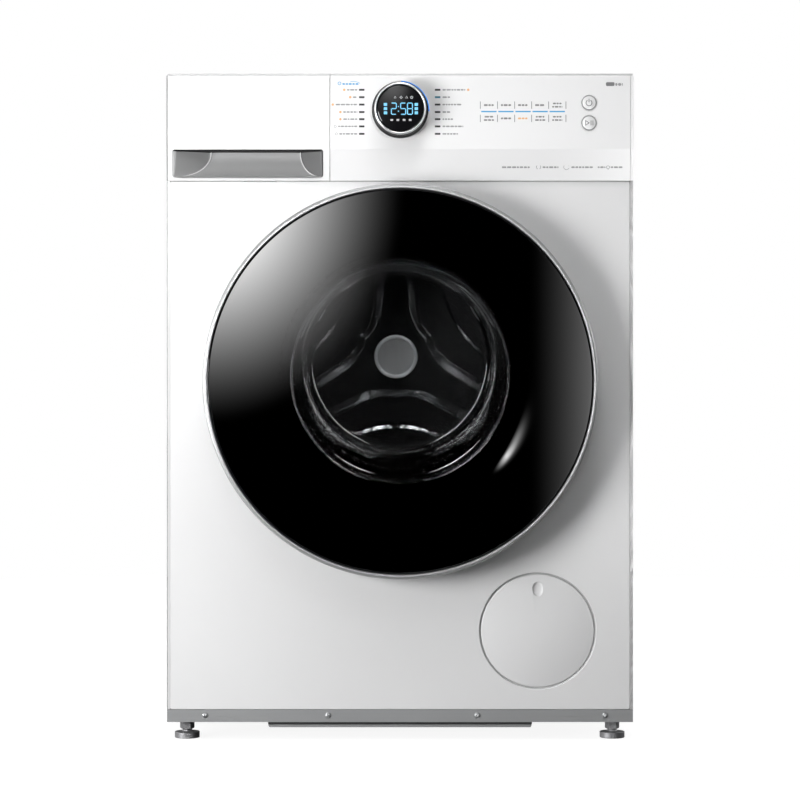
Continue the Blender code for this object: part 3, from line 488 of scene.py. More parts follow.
def door_bowl():
    outer = smooth([(146, -270.6), (143.2, -262), (141.5, -250), (138.6, -235), (132, -205), (129.5, -184)])
    outer += smooth([(129.5, -184), (126.5, -169), (117, -156.5), (72, -148.5), (0, -146)])[1:]
    inner = smooth([(0, -150.4), (70, -152.8), (113, -160.5), (122.3, -170.5), (125.6, -185)])
    wall = [(125.6, -185), (128.2, -206.5), (134.6, -236), (138.4, -254), (139.4, -265), (141, -276)]
    inner = ridged(inner + smooth(wall)[1:])
    axis = rising(22, -262, -146)
    bowl = turn([(141.5, -276.2), (156, -276.2), (156, -271)] + outer + inner[:-1], axis, 144)
    piece("door_glass_bowl", bowl, BOWL, "door", ["door_bowl"], 40)


def door_seal():
    """The seal's front lip is centred on the port, and its back on the tub's axis."""
    profile = [(176, -260.4), (176, -262.4), (164, -263), (152, -259), (147, -250), (149.5, -249.5)]
    profile += [(162.5, -256.5), (163.5, -243), (181.5, -236.5), (181.5, -230.5), (165.5, -225)]
    profile += [(165.5, -212.5), (172.4, -209.4), (172.4, -196), (175.4, -196), (175.4, -211.2)]
    profile += [(168.5, -214.3), (168.5, -222.8), (184.5, -228.3), (184.5, -238.7), (166.8, -245.2)]
    seal = turn(profile + [(166.8, -260.4)], rising(DRUM_Z - PORT_Z, -244, -215), 128)
    gasket = piece("door_seal", seal, RUBBER, None, ["door_gasket"], 60, 1.1)
    new = evaluated(gasket)
    gasket.modifiers.clear()
    gasket.data = new
    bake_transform(gasket)
    wire = [(x, -249.3, z) for x, z in (polar(0.0, PORT_Z, 169.3, a) for a in angles(96))]
    piece("seal_clamp", sweep(wire, 1.3, 8, True), ZINC, "cabinet", ["gasket_clamp"])


# Drum


def chamfer(x):
    """A straight slope from 0 to 1 with small rounded ends."""
    x = min(1.0, max(0.0, x))
    return x - 0.035 * sin(2 * pi * x)


def along(x, z, direction):
    """How far a point lies in a direction, and how far to its side."""
    a = radians(direction)
    return x * cos(a) + z * sin(a), x * sin(a) - z * cos(a)


def star_edge(x, z):
    """Positive inside the three-armed boss."""
    total = 0.0
    for arm in ARMS:
        u, v = along(x, z, arm)
        edge = 17 + 27.5 * exp(-max(0.0, u) / 42) + min(0.0, u) - abs(v)
        total += exp(max(-40, edge / 13))
    return 13 * log(max(total, 1e-17))


def beyond_chord(x, z):
    """Positive beyond the nearly straight outer edge of the nearest pocket."""
    return max(u - 112 - v * v / 300 for u, v in (along(x, z, middle) for middle in POCKETS))


def drum():
    """The back plate is pressed back everywhere but in its three-armed boss, and holds the hub."""
    segs, rows = 360, 130
    centre = (0, DRUM_Z)
    sections = [[(0.0, 176, DRUM_Z)] * segs]
    for r in (2 + 235.4 * (i / rows) ** 0.9 for i in range(rows + 1)):
        ring = []
        slope = 4 + 8 * step((r - 40) / 70)
        for a in angles(segs):
            x, z = polar(0.0, 0.0, r, a)
            edge = star_edge(x, z)
            boss = 0.45 * chamfer((edge + slope) / slope) + 0.55 * chamfer((edge + slope + 3.5) / 3.5)
            outer = 0.6 * chamfer((beyond_chord(x, z) + 1.2) / 1.2)
            y = 187 - 12 * max(boss, outer)
            y -= 10 * step((r - 228) / 8) * (1.0 - boss)
            ring.append((x, y, DRUM_Z + z))
        sections.append(ring)
    sections.append([(x, DRUM_BACK, z) for x, y, z in sections[-1]])
    sections.append([(0.0, DRUM_BACK, DRUM_Z)] * segs)
    piece("drum_back_plate", rings(sections), SHADED_BACK_STEEL, "drum", ["drum_back"], 60)

    profile = [(0, 172.3), (28.4, 172.3), (29, 172.8), (33.5, 174.8), (33.5, 175.6), (0, 175.6)]
    piece("hub_disc", turn(profile, centre, 96), HUB, "drum", ["drum_hub_cap"])
    profile = [(28.3, 172.7), (28.7, 171.6), (29.7, 171.1), (31.4, 171.4), (33, 172.8), (33.7, 174.6)]
    piece("hub_rim", turn(profile + [(28.3, 174.6)], centre, 96), HUB_RIM, "drum")

    profile = [(170, -170), (170.3, -174), (172, -176), (176, -176), (232, -173.4), (237.8, -170.6)]
    profile += [(240, -165), (240, 190), (238.4, 190), (238.4, -164.4), (236.4, -169.2), (231.3, -171.8)]
    profile += [(176, -174.4), (172.6, -173), (171.8, -170)]
    piece("drum_wall", turn(profile, centre, 144), STEEL, "drum", ["drum_shell"], 50)

    holes = []
    bosses = []
    per_row = 72
    for row in range(15):
        y = -142 + 20.5 * row
        for k in range(per_row):
            a = 2 * pi * (k + 0.5 * (row % 2)) / per_row
            if min(abs((degrees(a) - m + 180) % 360 - 180) for m in POCKETS) < 9:
                continue
            holes.append(disc_on_wall(a, y, 1.9, DRUM_INSIDE))
            if k % 2 == row % 2:
                bosses.append(dome_on_wall(a + pi / per_row, y, 6, DRUM_INSIDE + 0.1, 1.3))
    # The perforations are black discs on the wall, not openings: painted shade
    piece("drum_holes_painted_shade", merge(*holes), BLACK, "drum")
    piece("drum_bosses", merge(*bosses), STEEL, "drum")
    for index, arm in enumerate(POCKETS):
        lifter(index + 1, radians(arm))


def on_wall(a, y, radius, offset):
    """The point of the drum's wall that lies offset along the wall from angle a."""
    x, z = polar(0.0, DRUM_Z, radius, a + offset / radius)
    return (x, y, z)


def disc_on_wall(a, y, size, radius):
    bm = bmesh.new()
    rim, face = [
        [bm.verts.new(on_wall(a, y + size * sin(t), r, size * cos(t))) for t in angles(8)]
        for r in (radius, radius - 0.25)
    ]
    bm.faces.new(face)
    for i in range(8):
        j = (i + 1) % 8
        bm.faces.new([rim[i], rim[j], face[j], face[i]])
    return bm


def dome_on_wall(a, y, size, radius, height):
    sections = []
    for part, lift in ((1.0, 0.0), (0.82, 0.32), (0.55, 0.72), (0.25, 0.95), (0.0, 1.0)):
        reach, r = size * part, radius - height * lift
        sections.append([on_wall(a, y + reach * sin(t), r, reach * cos(t)) for t in angles(10)])
    return rings(sections, cap=False)


def lifter(index, a):
    out = Vector((cos(a), sin(a)))
    across = Vector((-sin(a), cos(a)))
    half = [(26, 0), (21, 9), (16.5, 22), (11, 36), (5, 43.6)]
    outline = smooth([(-x, rise) for x, rise in half] + [(0, 45)] + half[::-1], 2)
    stations = [(-158, 0.5, 0.1), (-156, 0.62, 0.32), (-150, 0.74, 0.58), (-140, 0.88, 0.83)]
    stations += [(-126, 0.97, 0.97)] + [(-110 + 30 * i, 1.0, 1.0 - 0.05 * (i % 2)) for i in range(9)]
    stations += [(170, 1.0, 0.97), (173, 0.97, 0.93)]
    sections = []
    for y, width, height in stations:
        ring = [out * (234.5 - rise * height) + across * (offset * width) for offset, rise in outline]
        sections.append([(p.x, y, DRUM_Z + p.y) for p in ring])
    piece(f"drum_lifter_{index}", rings(sections), LIFTER, "drum", [f"lifter_{index}"], 50)


# Controls


def fascia_y(z):
    """Front of the fascia at a height: upright above the crease, sloping back below it."""
    slope = (FACE - FASCIA_LOW) * (z - FASCIA_Z0) / (CREASE_Z - FASCIA_Z0)
    return FACE if z >= CREASE_Z else FASCIA_LOW + slope


def bar(cx, cz, width, height, radius=None, y=FACE, rise=MARK_RISE):
    r = min(width, height) / 2 * 0.98 if radius is None else radius
    outline = rounded(cx - width / 2, cz - height / 2, cx + width / 2, cz + height / 2, r, 3)
    return prism(outline, "XZ", y - rise, y + MARK_SINK)


def band(outer, inner, front, back):
    """One section of a flat band, from an outer and an inner (x, z)."""
    return [(x, y, z) for (x, z), y in ((outer, front), (inner, front), (inner, back), (outer, back))]


def ring_mark(cx, cz, outer, inner, y=FACE, rise=MARK_RISE, start=0.0, end=360, count=48):
    full = abs(end - start) >= 359.9
    sections = []
    for i in range(count + (0 if full else 1)):
        a = radians(start + (end - start) * i / count)
        sections.append(band(polar(cx, cz, outer, a), polar(cx, cz, inner, a), y - rise, y + MARK_SINK))
    return rings(sections, loop=full)


def strokes(x0, x1, z, height, seed, y=FACE):
    """A short row of plain dashes that stands for a printed label."""
    parts, x, k = [], x0, seed
    while x < x1 - 0.6:
        k = (k * 37 + 11) % 101
        width = min(2.4 + 3.6 * (k / 100), x1 - x)
        parts.append(bar(x + width / 2, z, width, height, y=y))
        x += width + 0.7
    return parts


def fascia():
    """Plain marks stand where the photo has printing: programmes beside the dial, options further right."""
    dark, grey, pale, orange, blue, teal = [], [], [], [], [], []
    left, right = -54.6, 54
    rows = (829, 819.6, 810.2, 800.7, 791.6, 782.4, 772.9)
    left_lengths = (13, 5.4, 27.5, 17.8, 17.8, 24.4, 22.9)
    right_lengths = (29, 9.6, 24.2, 10.3, 13.4, 26.5, 19.7)
    for i, z in enumerate(rows):
        dark.append(bar(-48.8, z, 6.9, 2.4, 0.5))
        (teal if i == 1 else dark).append(bar(47.8, z, 7, 2.4, 0.5))
        pale += strokes(left - left_lengths[i], left, z, 1.9, 3 + i)
        pale += strokes(right, right + right_lengths[i], z, 1.9, 23 + i)
        x = left - left_lengths[i] - 3.6
        if i < 5:
            orange.append(bar(x, z, 3.2, 3.2))
        else:
            pale.append(ring_mark(x, z, 1.7, 1.2, count=20))
    orange.append(bar(86.8, rows[0], 3.2, 3.2))
    blue.append(ring_mark(-77.2, 837.2, 2.2, 1.5, count=24))
    blue += strokes(-73.6, -53, 836.4, 1.9, 47)
    blue.append(ring_mark(-59.5, 824.6, 15.4, 14.9, start=55, end=105, count=16))

    upper_z, lower_z = 809.5, 792.6
    for x in (102.2, 124, 145.9, 167.5, 189.2, 211.2):
        grey += [bar(x, z, 0.8, 9.4, 0.2) for z in (upper_z, lower_z)]
    for k in range(5):
        cx = 113.1 + 21.75 * k
        blue.append(bar(cx, 801.3, 19.6, 1.6, 0.3))
        for z in (upper_z, lower_z):
            target = orange if (k == 2 and z == lower_z) else grey
            if k == 4 or (z == lower_z and k in (0, 3)):
                target += strokes(cx - 5.5, cx + 5.5, z + 2.1, 1.9, 5 + k)
                target += strokes(cx - 6.5, cx + 6.5, z - 2.1, 1.9, 15 + k)
            else:
                target += strokes(cx - 6.5, cx + 6.5, z, 2.2, 29 + k)

    grey.append(bar(267.6, 836.3, 11, 4.8, 1.6))
    pale += strokes(274, 283.4, 835.9, 3.6, 71)
    inks = (INK_DARK_AND_GAP_SHADE, INK_GREY, INK_PALE, INK_ORANGE, INK_BLUE, INK_TEAL)
    for ink, parts in zip(inks, (dark, grey, pale, orange, blue, teal)):
        piece(ink.name.replace("ink", "panel_marks"), merge(*parts), ink, "cabinet")

    low = []
    y = fascia_y(731)
    spans = ((129.7, 165.3, 5), (181.6, 201.9, 9), (218.2, 245.7, 4), (251.8, 261.5, 8), (268.5, 283.4, 3))
    for x0, x1, seed in spans:
        low += strokes(x0, x1, 730.6, 2, seed, y)
    low.append(ring_mark(176.5, 730.9, 3, 2.4, y, count=24, start=-60, end=250))
    low.append(ring_mark(212, 730.9, 3.7, 3.2, y, count=24, start=20, end=340))
    low.append(ring_mark(265, 730.6, 3, 2.1, y, count=4))
    piece("panel_marks_low", merge(*low), INK_PALE, "cabinet")


def keys():
    x, y = KEY_X, KEY_FACE
    for node, body, z in (("power_button", "power_key", 812.6), ("start_button", "start_key", 786.8)):
        profile = [(0, y), (8.6, y), (9.3, y + 0.25), (9.7, y + 0.8), (9.7, -262.8), (11.7, -262.8)]
        profile += [(11.7, -260.6), (5, -260.6), (5, -252), (0, -252)]
        piece(node + "_cap", turn(profile, (x, z), 64), PANEL_WHITE, body, [node])
        piece(node + "_mark", ring_mark(x, z, 9.6, 8.3, y + 0.35, 0.42), INK_PALE, body)
        if node == "power_button":
            parts = [ring_mark(x, z - 0.3, 4.2, 3.3, y, start=122, end=418, count=32)]
            parts.append(bar(x, z + 2.7, 0.9, 4.6, y=y))
        else:
            edge = [(x - 4.8, z - 3.6), (x + 1.0, z), (x - 4.8, z + 3.6)]
            hole = [(x - 3.9, z - 2.1), (x - 0.7, z), (x - 3.9, z + 2.1)]
            sections = [band(p, q, y - MARK_RISE, y + MARK_SINK) for p, q in zip(edge, hole)]
            parts = [rings(sections, loop=True)]
            parts += [bar(x + shift, z, 0.9, 6.4, y=y) for shift in (2.6, 5)]
        piece(node + "_sign", merge(*parts), INK_GREY, body)


def dial():
    """The skirt turns. The lens and its display stay with the cabinet."""
    centre = (0, DIAL_Z)
    profile = [(31.9, -256), (31.9, -266.4), (35.6, -266.4), (36, -266.9), (36, -270.2), (35.5, -271.4)]
    profile += [(34.2, -272.6), (33.4, -274.5), (33, -277), (32.9, -284), (30.3, -284), (30.3, -286.6)]
    profile += [(29.2, -286.8), (29.2, -256)]
    piece("dial_skirt", turn(profile, centre, 128), DIAL_BLACK, "dial", ["dial_ring"], 40)
    profile = [(30.2, -283.8), (30.2, -287.2), (30.5, -287.9), (31.1, -288.4), (31.8, -288.3), (32.5, -287.6)]
    profile += [(32.9, -286.2), (33, -283.8)]
    piece("dial_chrome", turn(profile, centre, 192), CHROME, "dial", angle=50)
    profile = [(0, DISPLAY_Y), (27.9, DISPLAY_Y), (28.6, -286.7), (29, -286), (29, -283), (26, -282)]
    lens = turn(profile + [(26, -244.5), (0, -244.5)], centre, 96)
    piece("dial_lens", lens, BLACK_GLOSS, "cabinet", ["display_glass"], 15)
    profile = [(37.6, FACE + 0.3), (37.7, FACE - 0.25), (38.4, FACE - 0.3), (38.9, FACE + 0.3)]
    piece("dial_halo", turn(profile, centre, 128), PANEL_WHITE, "cabinet")
    piece("dial_light", ring_mark(0, DIAL_Z, 37.4, 36.2, start=-2, end=88, count=48), LED_DEEP, "cabinet")

    digits = []
    for char, cx in (("2", -8.2), ("5", 3.6), ("8", 12.2)):
        digits += seven(char, cx, DISPLAY_Z, 6.3, 14.2, 1.25)
    digits += [lamp(-2.4, DISPLAY_Z + dz, 1.5, 1.5) for dz in (2.6, -3.2)]
    for cx in (-18.8, 20.2):
        digits += [lamp(cx, DISPLAY_Z + 5.3 * k, 4.3, 3.7, 0.6) for k in (-1, 0, 1)]
    piece("display_digits", merge(*digits), LED_BLUE, "cabinet")
    small = [lamp(cx, DISPLAY_Z - 14.3, 3.6, 2.4, 0.8) for cx in (-10.9, -3.1, 4.7, 12.5)]
    piece("display_icons_low", merge(*small), LED_WHITE, "cabinet")
    small = []
    for cx, count in ((-6.6, 3), (1.0, 4), (8, 3), (14.3, 5)):
        small.append(ring_mark(cx, DISPLAY_Z + 14.2, 2.1, 1.0, DISPLAY_Y, 0.3, 90, 450, count))
    piece("display_icons_high", merge(*small), LED_GREY, "cabinet")


def lamp(cx, cz, width, height, radius=None):
    return bar(cx, cz, width, height, radius, DISPLAY_Y, GLOW_RISE)


def seven(char, cx, cz, width, height, thick):
    """A seven-segment digit, as (dx, dz, whether it lies flat) of each lit segment."""
    w, h = width / 2, height / 2
    spots = {
        "a": (0, h, True),
        "g": (0, 0, True),
        "d": (0, -h, True),
        "f": (-w, h / 2, False),
        "b": (w, h / 2, False),
        "e": (-w, -h / 2, False),
        "c": (w, -h / 2, False),
    }
    parts = []
    for name in {"2": "abged", "5": "afgcd", "8": "abcdefg"}[char]:
        dx, dz, level = spots[name]
        size = (width - 0.5, thick) if level else (thick, h - 0.5)
        parts.append(lamp(cx + dx, cz + dz, *size))
    return parts


# Drawer


def scoop_depth(z):
    """Depth of the drawer grip behind the fascia, a quarter of an ellipse that opens upwards."""
    low = max(0.0, (750 - z) / 32)
    return 21 * sqrt(max(0.0, 1.0 - low * low))


def drawer():
    outline = [(FASCIA_BACK, 713.2), (-261.9, 713.2), (-262.5, 713.8), (FACE, CREASE_Z), (FACE, 846.2)]
    outline += [(FACE + 1, FASCIA_Z1), (FASCIA_BACK, FASCIA_Z1)]
    front = prism(outline, "YZ", -296, SPLIT_X - 0.3)
    front = piece("drawer_face", front, PANEL_WHITE, "drawer", ["drawer_front"])
    cut(front, prism(rounded(SCOOP_LEFT, SCOOP_LOW, SCOOP_RIGHT, SCOOP_HIGH, SCOOP_CORNER), "XZ", -270, -240))
    soften(front, 0.5)
    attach(front, "drawer")

    heights = [SCOOP_LOW + (SCOOP_HIGH - SCOOP_LOW) * (i / 32) ** 1.6 for i in range(33)]
    bm = bmesh.new()
    grid = []
    for z in heights:
        depth = scoop_depth(z)
        corner = max(0.0, SCOOP_CORNER - min(z - SCOOP_LOW, SCOOP_HIGH - z))
        inset = SCOOP_CORNER - sqrt(max(0.0, SCOOP_CORNER**2 - corner**2))
        left, right = SCOOP_LEFT + inset, SCOOP_RIGHT - inset
        y = fascia_y(z)
        ends = [(left, y + 0.3), (left + LEAN_LEFT * depth, y + depth)]
        ends += [(right - LEAN_RIGHT * depth, y + depth), (right, y + 0.3)]
        row = []
        for (x0, y0), (x1, y1), count in zip(ends, ends[1:], (10, 16, 10)):
            for t in (i / count for i in range(count)):
                row.append(bm.verts.new((x0 + (x1 - x0) * t, y0 + (y1 - y0) * t, z)))
        row.append(bm.verts.new((*ends[3], z)))
        grid.append(row)
    strips = list(zip(grid, grid[1:]))
    for row, z in ((grid[0], SCOOP_LOW), (grid[-1], SCOOP_HIGH)):
        strips.append((row, [bm.verts.new((v.co.x, fascia_y(z) + 0.3, z)) for v in row]))
    for a, b in strips:
        for i in range(len(a) - 1):
            bm.faces.new([a[i], a[i + 1], b[i + 1], b[i]])
    bmesh.ops.recalc_face_normals(bm, faces=bm.faces)
    for face in bm.faces:
        x, y, z = face.calc_center_median()
        # Painted shade: the right end face of the grip gets the darker grey
        if x > SCOOP_RIGHT - LEAN_RIGHT * scoop_depth(z) + 0.2 and y > fascia_y(z) + 0.4:
            face.material_index = 1
        # Painted shade: the ceiling of the grip, under the fascia's overhang, is painted black
        if z > SCOOP_HIGH - 2:
            face.material_index = 2
    paints = (SCOOP_GREY, SCOOP_SHADE, BLACK)
    scoop = piece("drawer_scoop", bm, paints, "drawer", angle=24)
    wall = scoop.modifiers.new("wall", "SOLIDIFY")
    wall.thickness = 1.3 * MM
    wall.offset = -1.0
    # White beads along the grip's folds, lighter than the scoop: painted highlight on the fold lines
    for side, x0, lean in (("left", SCOOP_LEFT, LEAN_LEFT), ("right", SCOOP_RIGHT, -LEAN_RIGHT)):
        depths = [(scoop_depth(z), z) for z in heights[1:-1]]
        path = [(x0 + lean * depth, fascia_y(z) + depth - 1.5, z) for depth, z in depths]
        piece(f"scoop_edge_{side}", sweep(path, 0.75, 8), ENAMEL, "drawer")


# Cabinet


def dress_all():
    """Gives each CAD solid that stays visible its material and a bevel in millimetres."""
    for mat, bevel, nodes in (
        (ENAMEL, 0.8, "top_cover"),
        (SHADED_SHELL_WHITE, 0.35, "cabinet_shell"),
        (PANEL_WHITE, 0.5, "control_panel"),
        (BASE_GREY, 0.5, "base_frame"),
        (BASE_GREY, 0.4, "bottom_tray"),
        (GALVANISED, 0.5, "rear_panel"),
        (ZINC, 0.2, "motor_pulley"),
        (ZINC, 0.3, "hinge_bracket door_hinge_arm door_hook"),
        (ZINC, 0.4, "front_bearing rear_bearing"),
        (ZINC, 0.0, "heater"),
        (CAST, 0.6, "drum_pulley"),
        (CAST, 1.0, "drum_spider"),
        (MOTOR, 0.5, "drive_motor"),
        (DARK_RUBBER, 0.0, "drive_belt"),
        (TUB, 0.8, "tub_front tub_rear"),
        (CONCRETE, 2, "front_counterweight top_counterweight"),
        (BLACK, 0.4, "door_lock"),
        (BLACK, 0.5, "damper_body_left damper_body_right"),
        (PALE, 0.4, "damper_rod_left damper_rod_right inlet_valve"),
        (PALE, 0.5, "drain_pump dispenser_housing"),
        (TRAY, 0.6, "drawer_tray"),
        (BLUE, 0.5, "siphon_insert"),
        (BLUE, 0.6, "filter_cap"),
        (BOARD, 0.2, "control_board"),
    ):
        for node in nodes.split():
            obj = NODES[node]
            if not obj.data.materials:
                obj.data.materials.append(mat)
            for slot in obj.material_slots:
                slot.material = mat
            if bevel:
                soften(obj, bevel)


def front_sheet():
    sheet = prism(rounded(-293.2, 39.3, 293.2, 712.9, 2.2), "XZ", SHEET_Y, -247)
    panel = piece("front_sheet", sheet, ENAMEL, "cabinet", ["front_panel"])
    cut(panel, prism(rounded(-292, 40.5, 292, 711.7, 1.6), "XZ", -258.8, -240))
    for radius, centre in ((168, (0, PORT_Z)), (74.5, (FLAP_X, FLAP_Z))):
        cut(panel, turn([(0, -270), (radius, -270), (radius, -240), (0, -240)], centre, 128))
    for z in (DOOR_Z + 24.5, DOOR_Z - 24.5):
        cut(panel, box((-242, -270, z - 3.5), (-230, -250, z + 3.5)))
    cut(panel, prism(rounded(193.5, 445, 210.5, 470, 2), "XZ", -270, -250))
    soften(panel, 0.6, 3)
    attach(panel, "cabinet")
    profile = [(168.3, -260), (170, -259.2), (170, -252), (168.2, -252)]
    piece("port_collar", turn(profile, (0, PORT_Z), 128), ENAMEL, "cabinet")


def service_flap():
    centre = (FLAP_X, FLAP_Z)
    profile = [(74.5, -259.6), (75.8, -259), (75.8, -250.8), (66, -250.8), (66, -252), (74.3, -252)]
    piece("flap_recess", turn(profile, centre, 128), PANEL_WHITE, "cabinet")
    profile = [(0, -259.9), (70.4, -259.9), (71.5, -259.6), (72.1, -258.9), (72.2, -258.2), (72.2, -257.4)]
    disc = turn(profile + [(0, -257.4)], centre, 128)
    flap = piece("flap_disc", disc, SATIN_WHITE, "flap", ["service_flap"])
    dimple = []
    bowl = [(sqrt(1 - t * t), -259.95 + 2.1 * t) for t in (i / 8 for i in range(9))]
    for share, y in [(1.0, -262)] + bowl:
        w, h = 6.9 * share, 9.4 * share
        dimple.append([(FLAP_X + w * cos(a), y, 192.7 + h * sin(a)) for a in angles(48)])
    cut(flap, rings(dimple))
    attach(flap, "flap")
    # The groove round the flap is painted grey: painted shade in the recess
    profile = [(72.5, -258), (74.6, -258.5), (74.6, -256), (72.5, -256)]
    piece("flap_groove", turn(profile, centre, 128), GROOVE_SHADE_GREY, "cabinet")


def trims_and_screws():
    # A black strip in the gap between the base strip and the tray: painted shade
    piece("tray_gap_painted_shade", box((-168.4, -258.4, 19.9), (168.4, -255, 22.9)), INK_DARK_AND_GAP_SHADE, "cabinet")

    for index, x in enumerate((-249, -92, 98, 261)):
        screw(f"base_screw_{index + 1}", (x, -259.8, 31.7), 3.4, -1)
    spots = [(x, z) for z in (122, 708) for x in (-240, -120, 0, 120, 240)]
    spots += [(x, z) for x in (-241, 241) for z in (270, 415, 560)]
    for index, (x, z) in enumerate(spots):
        screw(f"rear_screw_{index + 1}", (x, 298.8, z), 4, 1)
    # A grey band round the top edge, darker than the white cover: painted shade on the edge's rounding
    outer = rounded(-297.6, -263.15, 297.6, 299.1, 2.4)
    inner = rounded(-296.6, -262, 296.6, 298, 2)
    sections = [[(*p, 847.6), (*p, 849.9), (*q, 849.9), (*q, 847.6)] for p, q in zip(outer, inner)]
    piece("top_edge_shade_band", rings(sections, loop=True), TOP_EDGE_SHADE_GREY, "cabinet")

    outline = [(FASCIA_BACK, 713.6), (FASCIA_LOW + 0.2, 713.6), (FACE + 0.1, CREASE_Z)]
    outline += [(FACE + 0.1, FASCIA_Z1), (FASCIA_BACK, FASCIA_Z1)]
    # The left strips are grey as painted shade along the cabinet's left edge; the right ones are white
    for side, low, high, mat in (("left", -297.5, -296.3, BASE_GREY), ("right", 293.7, 297.3, PANEL_WHITE)):
        end = prism(outline, "YZ", low, high)
        piece(f"fascia_end_{side}", end, mat, "cabinet", bevel=0.2)
        end = box((low, SHEET_Y, 39.6), (high, -257.5, 712.6))
        piece(f"panel_end_{side}", end, mat, "cabinet", bevel=0.2)

    # The vents are black slots on the rear panel, not openings: painted shade
    slots = [rounded(60, 742 + 7 * k, 200, 745 + 7 * k, 1.4) for k in range(9)]
    vents = [prism(slot, "XZ", REAR_Y + 0.3, REAR_Y + 0.9) for slot in slots]
    piece("rear_vents_painted_shade", merge(*vents), BLACK, "cabinet")
    profile = [(0, REAR_Y), (13, REAR_Y), (13, 299), (9, 300), (8, 304.5), (4.5, 304.8), (4.5, 301), (0, 301)]
    piece("cord_gland", turn(profile, (-262, 90), 32), BLACK, "cabinet")
    profile = [(0, REAR_Y), (17, REAR_Y), (17, 298.6), (11, 299.2), (11, 304.6), (8.6, 304.6), (8.6, 300)]
    piece("drain_outlet", turn(profile + [(0, 300)], (262, 90), 40), DARK_RUBBER, "cabinet")
    for end, rise in (("low", -45), ("high", 45)):
        screw("hinge_screw_" + end, (-246, SHEET_Y, DOOR_Z + rise), 3.4, -1)


def screw(name, at, radius, side):
    """A pan head with a cross recess, on a face that looks along -Y (side -1) or +Y (side 1)."""
    x, y, z = at
    profile = [(0, 0), (1, 0), (1, 0.25), (0.8, 0.55), (0.45, 0.68), (0, 0.7)]
    head = turn([(radius * r, y + side * (radius * t)) for r, t in profile], (x, z), 24)
    obj = piece(name, head, ZINC, "cabinet")
    low, top = sorted((y + side * 0.35 * radius, y + side * radius))
    w, arm = 0.16 * radius, 0.6 * radius
    cut(obj, box((x - arm, low, z - w), (x + arm, top, z + w)))
    cut(obj, box((x - w, low, z - arm), (x + w, top, z + arm)))
    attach(obj, "cabinet")


def soft_parts():
    """Springs and hoses that stretch between the tub and the cabinet."""
    y, turns, per_turn, radius = 110, 7, 40, 14
    count = turns * per_turn
    for side, x in (("left", -215), ("right", 215)):
        path = [(x, y, 671.6), (x, y, 680)]
        for i in range(count + 1):
            a = 2 * pi * i / per_turn
            r = radius * min(1.0, i / 10, (count - i) / 10)
            path.append((*polar(x, y, r, a), 686 + 112 * i / count))
        path += [(x, y, 804), (x, y, 812.2)]
        coil = sweep(path, 2, 8)
        spring = piece(f"suspension_spring_{side}", coil, ZINC, None, [f"spring_{side}"])
        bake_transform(spring)
    for name, node, x, y, z0, z1, inner, a, b in (
        ("fill_bellows", "fill_hose", -190, 10, 698, 752, 20.6, "tub", "cabinet"),
        ("sump_bellows", "sump_hose", 175.7, -150, 192, 290, 18.6, "cabinet", "tub"),
    ):
        profile = []
        for t in (i / 60 for i in range(61)):
            z = z0 + (z1 - z0) * t
            wave = 0.5 - 0.5 * cos(2 * pi * (z - z0) / 8)
            profile.append((inner + 2.4 + 3.4 * wave * step(min(t, 1 - t) / 0.14), z))
        tube = turn(profile + [(inner, z1), (inner, z0)], (x, y), 40, "Z")
        hose = piece(name, tube, DARK_RUBBER, None, [node], 50)
        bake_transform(hose)


def feet():
    """A threaded foot with its round pad and a lock nut."""
    profile = [(0, 0), (15.5, 0), (16, 0.5), (16, 7.2), (15.6, 7.6), (8.6, 7.9), (6.6, 8.6), (6, 10)]
    for k in range(26):
        profile += [(6.2, 10.35 + k), (5.3, 10.85 + k)]
    profile += [(5.3, 37), (0, 37)]
    rounding = [(0, 10.5), (7.9, 11.3), (9.5, 12.6), (9.5, 21.5), (7.9, 22.8), (0, 23.6)]
    for (end, y), (side, x) in product((("front", -232), ("rear", 262)), (("left", -273.5), ("right", 273.5))):
        name, body = f"foot_{end}_{side}", f"foot_{end[0]}{side[0]}"
        piece(name + "_pad", turn(profile, (x, y), 48, "Z"), FOOT, body, [name])
        hexagon = [polar(x, y, 9.3, a) for a in angles(6)]
        nut = piece(name + "_nut", prism(hexagon, "XY", 11.5, 22.6), FOOT, body)
        cut(nut, turn(rounding, (x, y), 40, "Z"), "INTERSECT")
        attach(nut, body)


# Studio


def hide(obj, *rays):
    for ray in rays:
        setattr(obj, "visible_" + ray, False)


def surroundings():
    """The camera sees plain white. The machine is lit from the front, a little more from the upper left."""
    world = bpy.data.worlds.new("studio")
    world.use_nodes = True
    tree = world.node_tree
    tree.nodes.clear()
    out = add(tree, "OutputWorld")
    seen = add(tree, "Background", {"Color": (1.0, 1.0, 1.0, 1.0), "Strength": 1.0})
    lit = add(tree, "Background")
    coords = add(tree, "TexCoord")
    split = add(tree, "SeparateXYZ")
    front = {"From Min": -0.92, "From Max": -0.55}
    span = add(tree, "MapRange", front, interpolation_type="SMOOTHSTEP")
    side = add(tree, "VectorMath", {1: (-0.28, 0.0, 0.16)}, operation="DOT_PRODUCT")
    level = add(tree, "Math", {1: 0.31}, operation="ADD")
    amount = add(tree, "Math", operation="MULTIPLY")
    path = add(tree, "LightPath")
    mix = add(tree, "MixShader")
    join(
        tree,
        (coords, "Generated", split, "Vector"),
        (split, "Y", span, "Value"),
        (coords, "Generated", side, 0),
        (side, "Value", level, 0),
        (span, "Result", amount, 0),
        (level, "Value", amount, 1),
        (amount, "Value", lit, "Strength"),
        (path, "Is Camera Ray", mix, "Fac"),
        (lit, "Background", mix, 1),
        (seen, "Background", mix, 2),
        (mix, "Shader", out, "Surface"),
    )
    return world


